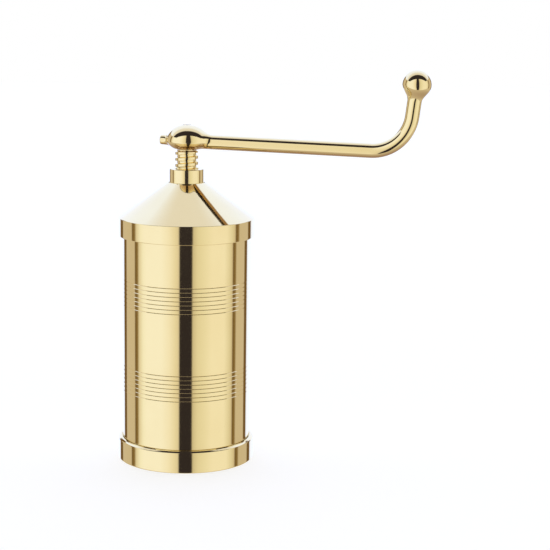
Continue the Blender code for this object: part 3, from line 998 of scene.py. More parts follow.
@dataclass(frozen=True)
class Barrel:
    """The drawn tube, with its threaded necks and engraved bands."""

    bore: float = 29.0
    radius: float = 32.0
    edge: float = 0.35
    upper_band: float = 29.2
    lower_band: float = 72.8
    line_spacing: float = 2.115
    line_width: float = 0.38
    line_depth: float = 0.12
    lines: int = 7
    thread_margin: float = 0.4
    finish: BrassFinish = BrassFinish("polished_tube", Surface.TURNED)

    def neck(self, low: float, trees: Trees, finish: bpy.types.Material) -> bmesh.types.BMesh:
        """Make one threaded neck.

        Args:
            low: The neck's lower end.
            trees: The shared trees.
            finish: The neck's material.

        Returns:
            The neck's wall.
        """
        thread = neck_thread(
            self.radius - NECK_STEP,
            NECK_DEPTH,
            low + self.thread_margin,
            low + NECK_HEIGHT - self.thread_margin,
            neck_crest(low),
        )
        return thread.make(trees.thread, finish)

    def build(self, trees: Trees) -> None:
        """Build the barrel and put it in place.

        Args:
            trees: The shared trees.
        """
        low, high = levels("barrel")
        finish = self.finish.build()
        neck = self.radius - NECK_STEP
        bands = [
            EngravedBand(
                wall=self.radius,
                top=high - drop,
                spacing=self.line_spacing,
                count=self.lines,
                width=self.line_width,
                depth=self.line_depth,
            )
            for drop in (self.upper_band, self.lower_band)
        ]
        ends = (
            Corner(neck, high - self.thread_margin),
            Corner(neck, high, self.edge),
            Corner(self.bore, high, self.edge),
            Corner(self.bore, low, self.edge),
            Corner(neck, low, self.edge),
            Corner(neck, low + self.thread_margin),
        )
        upper = (
            Corner(neck, high - NECK_HEIGHT + self.thread_margin),
            Corner(neck, high - NECK_HEIGHT),
            Corner(self.radius, high - NECK_HEIGHT, self.edge),
            Corner(self.radius, bands[0].ends[0]),
        )
        middle = (Corner(self.radius, bands[0].ends[1]), Corner(self.radius, bands[1].ends[0]))
        lower = (
            Corner(self.radius, bands[1].ends[1]),
            Corner(self.radius, low + NECK_HEIGHT, self.edge),
            Corner(neck, low + NECK_HEIGHT),
            Corner(neck, low + NECK_HEIGHT - self.thread_margin),
        )
        shapes = [turned(rounded(chain)) for chain in (ends, upper, middle, lower)]
        shapes += [band.make(trees.band, finish) for band in bands]
        shapes += [self.neck(start, trees, finish) for start in (low, high - NECK_HEIGHT)]
        place_piece(welded("barrel_tube", shapes), "barrel", "barrel", finish)


@dataclass(frozen=True)
class TopCap:
    """The conical cap with its threaded rim."""

    radius: float = 33.8
    rim: float = 9.1
    hole: float = 8.95
    wall: float = 2.7
    slope: float = radians(35.6)
    edge: float = 0.35
    seat_inner: float = 29.3
    ceiling: float = 12.3
    land: float = 2.5
    collar: float = 32.35
    thread_margin: float = 0.3
    finish: BrassFinish = BrassFinish("polished_cap", Surface.TURNED)

    def cone(self, base: float, r: float) -> float:
        """Level of the outer cone at a radius, over the level of its base."""
        return base + (self.radius - r) * tan(self.slope)

    def build(self, trees: Trees) -> None:
        """Build the cap and put it in place.

        Args:
            trees: The shared trees.
        """
        low, _ = levels("top_cap")
        finish = self.finish.build()
        base = low + self.rim
        neck_low = levels("barrel")[1] - NECK_HEIGHT
        major = self.collar - COLLAR_STEP
        thread_low = neck_low + GAP + self.thread_margin
        seat = levels("barrel")[1] + GAP
        outside = (
            Corner(major, thread_low),
            Corner(major, neck_low + GAP),
            Corner(self.collar, neck_low + GAP),
            Corner(self.collar, low, 0.2),
            Corner(self.radius, low, self.edge),
            Corner(self.radius, base, self.edge),
            Corner(self.hole, self.cone(base, self.hole), 0.2),
            Corner(self.hole, self.cone(base, self.ceiling) - self.land),
            Corner(self.ceiling, self.cone(base, self.ceiling) - self.land),
            Corner(self.seat_inner, self.cone(base, self.seat_inner) - self.wall),
            Corner(self.seat_inner, seat, 0.2),
            Corner(major, seat),
            Corner(major, seat - self.thread_margin),
        )
        crest = neck_crest(neck_low, 0.5)
        thread = neck_thread(major, -NECK_DEPTH, thread_low, seat - self.thread_margin, crest)
        shapes = [turned(rounded(outside)), thread.make(trees.thread, finish)]
        place_piece(welded("cap_cone", shapes), "top_cap", "cap", finish)


@dataclass(frozen=True)
class ScrewBush:
    """The threaded bush, with its boss above the cap and its flange below."""

    boss: float = 8.65
    flange: float = 12.0
    flange_height: float = 2.7
    major: float = 6.15
    mouth: float = 0.5
    edge: float = 0.4
    finish: BrassFinish = BrassFinish("polished_boss", Surface.TURNED, roughness=0.05)

    def build(self, trees: Trees) -> None:
        """Build the bush and put it in place.

        Args:
            trees: The shared trees.
        """
        low, high = levels("screw_bush")
        finish = self.finish.build()
        body = (
            Corner(self.major, high - self.mouth),
            Corner(self.major + self.mouth, high),
            Corner(self.boss, high, self.edge),
            Corner(self.boss, low + self.flange_height),
            Corner(self.flange, low + self.flange_height, 0.3),
            Corner(self.flange, low, 0.3),
            Corner(self.major + self.mouth, low),
            Corner(self.major, low + self.mouth),
        )
        thread = ScrewThread(
            wall=self.major,
            depth=-1.0,
            pitch=SCREW_PITCH,
            low=low + self.mouth,
            high=high - self.mouth,
            crest_at=Spindle().crest_level() + SCREW_PITCH / 2,
            crest=0.5,
            base=1.5,
            fade=1.0,
        )
        shapes = [turned(rounded(body)), thread.make(trees.thread, finish)]
        place_piece(welded("bush_boss", shapes), "screw_bush", "bush", finish)


@dataclass(frozen=True)
class Spindle:
    """The coarse screw, with its square drive, tenon and journal."""

    core: float = 4.85
    depth: float = 1.0
    journal: float = 3.5
    journal_length: float = 10.6
    plain_foot: float = 3.5
    square: float = 3.0
    tenon: float = 1.65
    tapped: float = 2.0
    tapped_depth: float = 9.0
    square_height: float = 9.6
    undercut: float = 0.3
    first_crest: float = 5.0
    finish: BrassFinish = BrassFinish("polished_screw", Surface.TURNED, roughness=0.06, ageing=0.3)

    def crest_level(self) -> float:
        """Find a crest of the screw at +X at rest.

        Returns:
            The crest's level.
        """
        low, _ = levels("spindle")
        start = low + self.journal_length + self.first_crest
        return start - SCREW_PITCH * (0.5 / CAD_SCREW_STEPS + REST_TURN / (2 * pi))

    def build(self, trees: Trees) -> None:
        """Build the spindle and put it in place.

        Args:
            trees: The shared trees.
        """
        low, high = levels("spindle")
        finish = self.finish.build()
        shoulder = low + self.journal_length
        thread_low = shoulder + self.plain_foot
        hub_low = levels("screw_bush")[1] + EXPOSED_SCREW
        thread_high = hub_low - GAP - self.undercut
        foot = (
            Corner(self.core, thread_low),
            Corner(self.core, shoulder, 0.3),
            Corner(self.journal, shoulder),
            Corner(self.journal, low, 0.3),
            Corner(self.tapped, low),
            Corner(self.tapped, low + self.tapped_depth),
            Corner(0.0, low + self.tapped_depth + 1.0),
        )
        square_low = hub_low - GAP
        square_high = hub_low + self.square_height
        head = (
            Corner(0.0, high),
            Corner(self.tenon, high, 0.25),
            Corner(self.tenon, square_high),
            Corner(self.square, square_high),
            Corner(self.square, square_low),
            Corner(self.core, square_low, 0.15),
            Corner(self.core, thread_high),
        )
        thread = ScrewThread(
            wall=self.core,
            depth=self.depth,
            pitch=SCREW_PITCH,
            low=thread_low,
            high=thread_high,
            crest_at=self.crest_level() + SCREW_PITCH * REST_TURN / (2 * pi),
            crest=1.2,
            base=2.1,
            fade=0.5,
            steps=AROUND_SCREW,
            rows_in_pitch=16,
        )
        shapes = [
            turned(rounded(foot), AROUND_SCREW),
            turned(rounded(head), AROUND_SCREW, self.square),
            thread.make(trees.thread, finish),
        ]
        piece = welded("spindle_screw", shapes, REST_TURN)
        place_piece(piece, "spindle", "crank", finish)


def blend_near(first: np.ndarray, second: np.ndarray, reach: float | np.ndarray) -> np.ndarray:
    """Join two shapes' distances with a soft fillet.

    Args:
        first: Distances to one shape.
        second: Distances to the other.
        reach: How far from their meeting the fillet starts.

    Returns:
        Distances to both.
    """
    near = np.maximum(reach - np.abs(first - second), 0.0) / reach
    return np.minimum(first, second) - near * near * reach / 4


def segment_distance(points: np.ndarray, start: np.ndarray, end: np.ndarray) -> np.ndarray:
    """Distance of points in a plane from a straight segment.

    Args:
        points: The points.
        start: The segment's start.
        end: The segment's end.

    Returns:
        The distances.
    """
    along = end - start
    share = np.clip((points - start) @ along / (along @ along), 0.0, 1.0)
    nearest = start + share[:, None] * along
    return np.linalg.norm(points - nearest, axis=1)


@dataclass(frozen=True)
class CrankHandle:
    """The casting: hub, stub, arm, bend, upright and ball.

    It is worked out in the plane of the arm, as a distance from its surface.
    A rough net is then drawn tight onto that surface. Levels are measured
    from the hub's foot.
    """

    # The hub is stretched by its lead toward the arm, and by its trail away.
    hub: float = 9.3
    hub_foot: float = 5.2
    hub_lead: float = 1.2
    hub_trail: float = 1.1
    hub_waist: float = 3.8
    hub_height: float = 12.15
    dome_power: float = 2.0
    taper_power: float = 1.4

    # The bar and the ball. Droop and lean are angles, the rest are lengths.
    arm: float = 3.6
    arm_level: float = 4.0
    reach: float = 109.1
    droop: float = radians(1.3)
    bend: float = 19.5
    lean: float = radians(7.0)
    ball: float = 7.28
    ball_level: float = 30.1
    ball_neck: float = 8.0

    # The stub and the fillets. Under the arm a fillet keeps only a share.
    stub_reach: float = 13.4
    stub_root: float = 3.1
    stub_tip: float = 2.3
    hub_fillet: float = 2.3
    stub_fillet: float = 1.3
    under_share: float = 0.15
    stub_edge: float = 0.6

    # The net, and how often and how far its points are evened out.
    voxel: float = 0.4
    net_margin: float = 0.6
    net_bar_share: float = 0.98
    relax_rounds: int = 24
    relax_share: float = 0.5
    settle_rounds: int = 4
    longest_step: float = 1.0
    slope_step: float = 0.01

    # The square socket for the spindle, and the hole for its tenon.
    socket: float = 3.3
    tenon_hole: float = 1.95
    square_height: float = 9.9
    # The cast finish paints shade where the casting faces down.
    finish: BrassFinish = BrassFinish(
        "polished_casting", Surface.CAST, wave_height=0.01, wave_size=9.0
    )

    def outward(self) -> np.ndarray:
        """Direction of the arm in its plane."""
        return np.array([cos(self.droop), -sin(self.droop)])

    def upward(self) -> np.ndarray:
        """Direction of the upright in its plane."""
        return np.array([sin(self.lean), cos(self.lean)])

    def corner(self) -> np.ndarray:
        """Where the lines of the arm and the upright meet."""
        return np.array([self.reach, self.arm_level - self.reach * tan(self.droop)])

    def ball_centre(self) -> np.ndarray:
        """Centre of the ball in the arm's plane."""
        level = self.arm_level + self.ball_level
        return np.array([self.reach + (level - self.corner()[1]) * tan(self.lean), level])

    def bend_parts(self) -> tuple[np.ndarray, np.ndarray, float]:
        """Work out the bend between arm and upright.

        Returns:
            Its centre, the direction from the arm to that and its turn.
        """
        turn = pi / 2 + self.droop - self.lean
        start = self.corner() - self.outward() * self.bend * tan(turn / 2)
        inward = np.array([-self.outward()[1], self.outward()[0]])
        return start + inward * self.bend, inward, turn

    def arm_distance(self, flat: np.ndarray, across: np.ndarray) -> np.ndarray:
        """Distance from the bar of arm, bend and upright.

        Args:
            flat: Points in the arm's plane.
            across: Their distance from that plane.

        Returns:
            The distances.
        """
        centre, inward, turn = self.bend_parts()
        start = centre - inward * self.bend
        end = centre - inward * self.bend * cos(turn) + self.outward() * self.bend * sin(turn)
        first = segment_distance(flat, np.array([0.0, self.arm_level]), start)
        last = segment_distance(flat, end, self.ball_centre())
        spoke = flat - centre
        angle = np.clip(np.arctan2(spoke @ self.outward(), -(spoke @ inward)), 0.0, turn)
        nearest = centre + self.bend * (
            np.cos(angle)[:, None] * -inward + np.sin(angle)[:, None] * self.outward()
        )
        bent = np.linalg.norm(flat - nearest, axis=1)
        line = np.minimum(np.minimum(first, last), bent)
        return np.hypot(line, across) - self.arm

    def ball_distance(self, flat: np.ndarray, across: np.ndarray) -> np.ndarray:
        """Distance from the ball and the neck that draws in below it.

        Args:
            flat: Points in the arm's plane.
            across: Their distance from that plane.

        Returns:
            The distances.
        """
        offset = flat - self.ball_centre()
        up = offset @ self.upward()
        side = offset @ np.array([self.upward()[1], -self.upward()[0]])
        out = np.hypot(side, across)
        above = np.hypot(out, up) - self.ball
        drop = np.clip(-up / self.ball_neck, 0.0, 1.0)
        width = self.arm + (self.ball - self.arm) * np.cos(drop * pi / 2) ** 2
        slope = (self.ball - self.arm) * pi / (2 * self.ball_neck) * np.sin(drop * pi)
        below = (out - width) / np.hypot(1.0, slope)
        below = np.where(-up > self.ball_neck, 1000.0, below)
        return np.where(up > 0.0, above, below)

    def hub_distance(self, along: np.ndarray, across: np.ndarray, level: np.ndarray) -> np.ndarray:
        """Distance from the domed and tapered hub.

        Args:
            along: Points' distance along the arm.
            across: Their distance from the arm's plane.
            level: Their level over the hub's foot.

        Returns:
            The distances.
        """
        out = np.hypot(along / np.where(along > 0.0, self.hub_lead, self.hub_trail), across)
        rise = level - self.hub_waist
        dome_size = np.hypot(out, rise)
        dome = (out / self.hub) ** self.dome_power
        dome += (np.maximum(rise, 0.0) / (self.hub_height - self.hub_waist)) ** self.dome_power
        dome = np.maximum(dome, 1e-9) ** (1 / self.dome_power)
        above = dome_size * (1 - 1 / dome)
        past = np.maximum(out - self.hub_foot, 0.0)
        fall = np.maximum(-rise, 0.0)
        taper_size = np.hypot(past, fall)
        taper = (past / (self.hub - self.hub_foot)) ** self.taper_power
        taper += (fall / self.hub_waist) ** self.taper_power
        taper = np.maximum(taper, 1e-9) ** (1 / self.taper_power)
        below = taper_size * (1 - 1 / taper)
        return np.where(rise > 0.0, above, below)

    def stub_distance(self, flat: np.ndarray, across: np.ndarray) -> np.ndarray:
        """Distance from the short stub behind the hub.

        Args:
            flat: Points in the arm's plane.
            across: Their distance from that plane.

        Returns:
            The distances.
        """
        offset = flat - np.array([0.0, self.arm_level])
        back = -(offset @ self.outward())
        side = offset @ np.array([-self.outward()[1], self.outward()[0]])
        share = np.clip(back / self.stub_reach, 0.0, 1.0)
        width = self.stub_root + (self.stub_tip - self.stub_root) * share
        wall = np.hypot(side, across) - width
        ends = np.abs(back - self.stub_reach / 2) - self.stub_reach / 2
        return -blend_near(-wall, -ends, self.stub_edge)

    def distance(self, points: np.ndarray) -> np.ndarray:
        """Distance of points from the casting's surface.

        Args:
            points: Points along the arm, across it and over the hub's foot.

        Returns:
            The distances, negative inside.
        """
        flat = points[:, [0, 2]]
        across = points[:, 1]
        hub = self.hub_distance(points[:, 0], across, points[:, 2])
        fillet = self.hub_fillet * np.clip(points[:, 2] / self.arm_level, self.under_share, 1.0)
        whole = blend_near(hub, self.arm_distance(flat, across), fillet)
        whole = blend_near(whole, self.stub_distance(flat, across), self.stub_fillet)
        return np.minimum(whole, self.ball_distance(flat, across))

    def rough_net(self) -> bpy.types.Object:
        """Make a rough closed net near the casting's surface.

        Returns:
            The net as an object, in millimetres.
        """
        shape = bmesh.new()
        middle = Matrix.Translation((0.0, 0.0, self.hub_height / 2))
        half_height = self.hub_height / 2 + self.net_margin
        squash = Matrix.Diagonal((self.hub, self.hub, half_height, 1.0))
        bmesh.ops.create_uvsphere(
            shape, u_segments=48, v_segments=24, radius=1.0, matrix=middle @ squash
        )
        centre = self.ball_centre()
        place = Matrix.Translation((centre[0], 0.0, centre[1]))
        bmesh.ops.create_uvsphere(
            shape, u_segments=32, v_segments=16, radius=self.ball, matrix=place
        )
        bend_centre, inward, turn = self.bend_parts()
        route = [np.array([-self.stub_reach, self.arm_level + self.stub_reach * tan(self.droop)])]
        steps = 16
        for i in range(steps + 1):
            angle = turn * i / steps
            spoke = self.outward() * sin(angle) - inward * cos(angle)
            route.append(bend_centre + self.bend * spoke)
        route.append(centre)
        curve = bpy.data.curves.new("route", "CURVE")
        curve.dimensions = "3D"
        curve.bevel_depth = self.arm * self.net_bar_share
        curve.bevel_resolution = 6
        curve.use_fill_caps = True
        spline = curve.splines.new("POLY")
        spline.points.add(len(route) - 1)
        for target, spot in zip(spline.points, route):
            target.co = (spot[0], 0.0, spot[1], 1.0)
        bar = bpy.data.objects.new("route", curve)
        bpy.context.scene.collection.objects.link(bar)
        bpy.context.view_layer.update()
        graph = bpy.context.evaluated_depsgraph_get()
        tube = bpy.data.meshes.new_from_object(bar.evaluated_get(graph))
        shape.from_mesh(tube)
        bpy.data.objects.remove(bar, do_unlink=True)
        bmesh.ops.remove_doubles(shape, verts=shape.verts, dist=0.001)
        mesh = bpy.data.meshes.new("net")
        shape.to_mesh(mesh)
        shape.free()
        net = bpy.data.objects.new("net", mesh)
        bpy.context.scene.collection.objects.link(net)
        return net

    def tight_net(self) -> bpy.types.Object:
        """Remesh the rough net evenly and draw it onto the surface.

        Returns:
            The net as an object, in millimetres.
        """
        net = self.rough_net()
        even = net.modifiers.new("even", "REMESH")
        even.mode = "VOXEL"
        even.voxel_size = self.voxel
        bpy.context.view_layer.update()
        graph = bpy.context.evaluated_depsgraph_get()
        mesh = bpy.data.meshes.new_from_object(net.evaluated_get(graph))
        net.modifiers.remove(even)
        net.data = mesh
        count = len(mesh.vertices)
        points = np.zeros(count * 3)
        mesh.vertices.foreach_get("co", points)
        points = points.reshape(-1, 3)
        ends = np.zeros(len(mesh.edges) * 2, dtype=np.int64)
        mesh.edges.foreach_get("vertices", ends)
        ends = ends.reshape(-1, 2)
        links = np.bincount(ends.ravel(), minlength=count)
        for _ in range(self.relax_rounds):
            points = self.drawn_on(points)
            slope = self.slope(points)
            total = np.zeros_like(points)
            for column in range(3):
                total[:, column] = np.bincount(ends[:, 0], points[ends[:, 1], column], count)
                total[:, column] += np.bincount(ends[:, 1], points[ends[:, 0], column], count)
            shift = total / links[:, None] - points
            shift -= np.sum(shift * slope, axis=1)[:, None] * slope
            points = points + self.relax_share * shift
        for _ in range(self.settle_rounds):
            points = self.drawn_on(points)
        mesh.vertices.foreach_set("co", points.ravel())
        mesh.update()
        return net

    def slope(self, points: np.ndarray) -> np.ndarray:
        """Outward direction of the surface near points.

        Args:
            points: The points.

        Returns:
            Unit vectors.
        """
        rise = np.zeros_like(points)
        for axis in range(3):
            shift = np.zeros(3)
            shift[axis] = self.slope_step
            rise[:, axis] = self.distance(points + shift) - self.distance(points - shift)
        length = np.linalg.norm(rise, axis=1)
        return rise / np.maximum(length, 1e-9)[:, None]

    def drawn_on(self, points: np.ndarray) -> np.ndarray:
        """Move points onto the surface along its slope.

        Args:
            points: The points.

        Returns:
            The moved points.
        """
        step = np.clip(self.distance(points), -self.longest_step, self.longest_step)
        return points - step[:, None] * self.slope(points)

    def build(self) -> None:
        """Build the crank and put it in place."""
        high = levels("spindle")[1]
        foot = levels("screw_bush")[1] + EXPOSED_SCREW
        piece = self.tight_net()
        piece.name = "crank_casting"
        piece.data.name = "crank_casting"
        lift = Matrix.Translation((0.0, 0.0, foot * MM))
        piece.data.transform(Matrix.Rotation(REST_TURN, 4, "Z") @ lift @ Matrix.Scale(MM, 4))
        top = foot + self.square_height
        socket = (
            Corner(0.0, foot - 1.0),
            Corner(self.socket, foot - 1.0),
            Corner(self.socket, top),
            Corner(0.0, top),
        )
        hole = (
            Corner(0.0, top - 0.5),
            Corner(self.tenon_hole, top - 0.5),
            Corner(self.tenon_hole, high + 2.0),
            Corner(0.0, high + 2.0),
        )
        square = turned(rounded(socket), AROUND_SCREW, self.socket)
        cut(piece, welded("socket", [square], REST_TURN))
        round_hole = turned(rounded(hole), AROUND_SCREW)
        cut(piece, welded("hole", [round_hole], REST_TURN))
        smooth(piece, radians(40))
        place_piece(piece, "crank_handle", "crank", self.finish.build())


@dataclass(frozen=True)
class Piston:
    """The cupped piston."""

    radius: float = 28.7
    plate: float = 3.0
    rim_height: float = 8.0
    rim_wall: float = 2.5
    boss: float = 8.4
    bore: float = 3.8
    recess: float = 6.9
    recess_depth: float = 4.8
    edge: float = 0.3
    rim_edge: float = 0.5
    foot_edge: float = 0.6
    inner_round: float = 1.2
    finish: BrassFinish = BrassFinish(
        "worked_piston", Surface.WORKED, roughness=0.16, spread=0.12, ageing=0.5, ring_height=0.003
    )

    def build(self) -> None:
        """Build the piston and put it in place."""
        low, high = levels("piston_plate")
        inner = self.radius - self.rim_wall
        inside = Corner(self.bore, low + self.recess_depth + 2.0)
        outline = (
            inside,
            Corner(self.bore, high, self.edge),
            Corner(self.boss, high, self.rim_edge),
            Corner(self.boss, low + self.plate, self.inner_round),
            Corner(inner, low + self.plate, self.inner_round),
            Corner(inner, low + self.rim_height, self.rim_edge),
            Corner(self.radius, low + self.rim_height, self.rim_edge),
            Corner(self.radius, low, self.foot_edge),
            Corner(self.recess, low, self.edge),
            Corner(self.recess, low + self.recess_depth, self.edge),
            Corner(self.bore, low + self.recess_depth),
            inside,
        )
        piece = welded("piston_cup", [turned(rounded(outline))])
        place_piece(piece, "piston_plate", "piston", self.finish.build())


@dataclass(frozen=True)
class Washer:
    """A flat washer on the press axis."""

    node: str
    hole: float
    radius: float
    finish: BrassFinish
    hole_edge: float = 0.15
    rim_edge: float = 0.3

    def build(self) -> None:
        """Build the washer and put it in place."""
        low, high = levels(self.node)
        inside = Corner(self.hole, (low + high) / 2)
        outline = (
            inside,
            Corner(self.hole, high, self.hole_edge),
            Corner(self.radius, high, self.rim_edge),
            Corner(self.radius, low, self.rim_edge),
            Corner(self.hole, low, self.hole_edge),
            inside,
        )
        piece = welded(f"{self.node}_ring", [turned(rounded(outline), AROUND_SCREW)])
        place_piece(piece, self.node, "crank", self.finish.build())


@dataclass(frozen=True)
class RetainingScrew:
    """The slotted screw in the spindle's end, head down."""

    head: float = 3.6
    head_height: float = 1.9
    shank: float = 1.35
    thread: float = 0.35
    pitch: float = 0.7
    slot: float = 0.5
    slot_depth: float = 0.9
    plain: float = 0.3
    tip: float = 0.4
    steps: int = 32
    finish: BrassFinish = BrassFinish("worked_screw", Surface.WORKED, roughness=0.15, spread=0.1)

    def build(self, trees: Trees) -> None:
        """Build the screw and put it in place.

        Args:
            trees: The shared trees.
        """
        low, high = levels("retaining_screw")
        finish = self.finish.build()
        head_top = low + self.head_height
        crown = (
            Corner(0.0, low),
            Corner(self.head, low, 0.4),
            Corner(self.head, head_top, 0.15),
            Corner(self.shank, head_top),
            Corner(self.shank, head_top + self.plain),
        )
        tip = (
            Corner(self.shank, high - self.tip),
            Corner(self.shank, high, 0.3),
            Corner(0.0, high),
        )
        thread = ScrewThread(
            wall=self.shank,
            depth=self.thread,
            pitch=self.pitch,
            low=head_top + self.plain,
            high=high - self.tip,
            crest_at=head_top,
            crest=0.08,
            base=0.66,
            fade=0.4,
            steps=self.steps,
            rows_in_pitch=8,
        )
        shapes = [turned(rounded(end), self.steps) for end in (crown, tip)]
        shapes.append(thread.make(trees.thread, finish))
        piece = welded("screw_head", shapes, REST_TURN)
        groove = bmesh.new()
        size = Matrix.Diagonal((2 * self.slot, 4 * self.head, 2 * self.slot_depth, 1.0))
        spot = Matrix.Translation((0.0, 0.0, low * MM))
        bmesh.ops.create_cube(groove, size=MM, matrix=spot @ size)
        cut(piece, welded("slot", [groove], REST_TURN))
        smooth(piece, radians(35))
        place_piece(piece, "retaining_screw", "crank", finish)


@dataclass(frozen=True)
class DieDisc:
    """The perforated plate that the dough leaves by."""

    radius: float = 30.8
    hole: float = 1.2
    ring_step: float = 26.5 / 4.9
    rings: int = 4
    first_count: int = 6
    finish: BrassFinish = BrassFinish(
        "worked_die", Surface.WORKED, roughness=0.14, spread=0.1, ageing=0.4, ring_height=0.002
    )

    def build(self, trees: Trees) -> None:
        """Build the die and put it in place.

        Args:
            trees: The shared trees.
        """
        low, high = levels("die_disc")
        finish = self.finish.build()
        plate = PerforatedPlate(
            self.radius, low, high - low, self.hole, self.ring_step, self.rings, self.first_count
        )
        piece = welded("die_plate", [plate.make(trees.plate, finish)])
        place_piece(piece, "die_disc", "die", finish)


@dataclass(frozen=True)
class DieRing:
    """The screwed ring that holds the die and is the press's foot."""

    radius: float = 34.2
    lip: float = 1.2
    mouth: float = 26.5
    collar: float = 32.35
    collar_height: float = 1.2
    thread_margin: float = 0.3
    crown: float = 0.15
    shoulder: float = 0.8
    shoulder_drop: float = 0.9
    finish: BrassFinish = BrassFinish("polished_ring", Surface.TURNED)

    def build(self, trees: Trees) -> None:
        """Build the ring and put it in place.

        Args:
            trees: The shared trees.
        """
        low, high = levels("die_ring")
        finish = self.finish.build()
        barrel_low = levels("barrel")[0]
        major = self.collar - COLLAR_STEP
        seat = low + self.lip
        collar_low = high - self.collar_height
        outside = (
            Corner(major, collar_low - self.thread_margin),
            Corner(major, collar_low),
            Corner(self.collar, collar_low),
            Corner(self.collar, high, 0.15),
            Corner(self.radius - self.shoulder, high - self.crown, 0.2),
            Corner(self.radius, high - self.shoulder_drop, 0.6),
            Corner(self.radius, low, 0.5),
            Corner(self.mouth, low, 0.3),
            Corner(self.mouth, seat, 0.2),
            Corner(major, seat),
            Corner(major, seat + self.thread_margin),
        )
        thread_low = seat + self.thread_margin
        thread_high = collar_low - self.thread_margin
        crest = neck_crest(barrel_low, 0.5)
        thread = neck_thread(major, -NECK_DEPTH, thread_low, thread_high, crest)
        shapes = [turned(rounded(outside)), thread.make(trees.thread, finish)]
        place_piece(welded("ring_foot", shapes), "die_ring", "ring", finish)


@dataclass(frozen=True)
class Stop:
    """A colour at an angle of the surroundings, in degrees."""

    angle: float
    colour: tuple[float, float, float]


WHITE = (1.0, 1.0, 1.0)
COOL_WHITE = (1.0, 1.13, 1.6)
CARD = (1.02, 1.04, 1.08)
WARM_CARD = (0.96, 0.93, 0.84)
DIM_CARD = (0.80, 0.76, 0.62)
TAN = (0.64, 0.56, 0.45)
SHADE = (0.17, 0.10, 0.035)
LENS_GAP = (0.032, 0.026, 0.030)


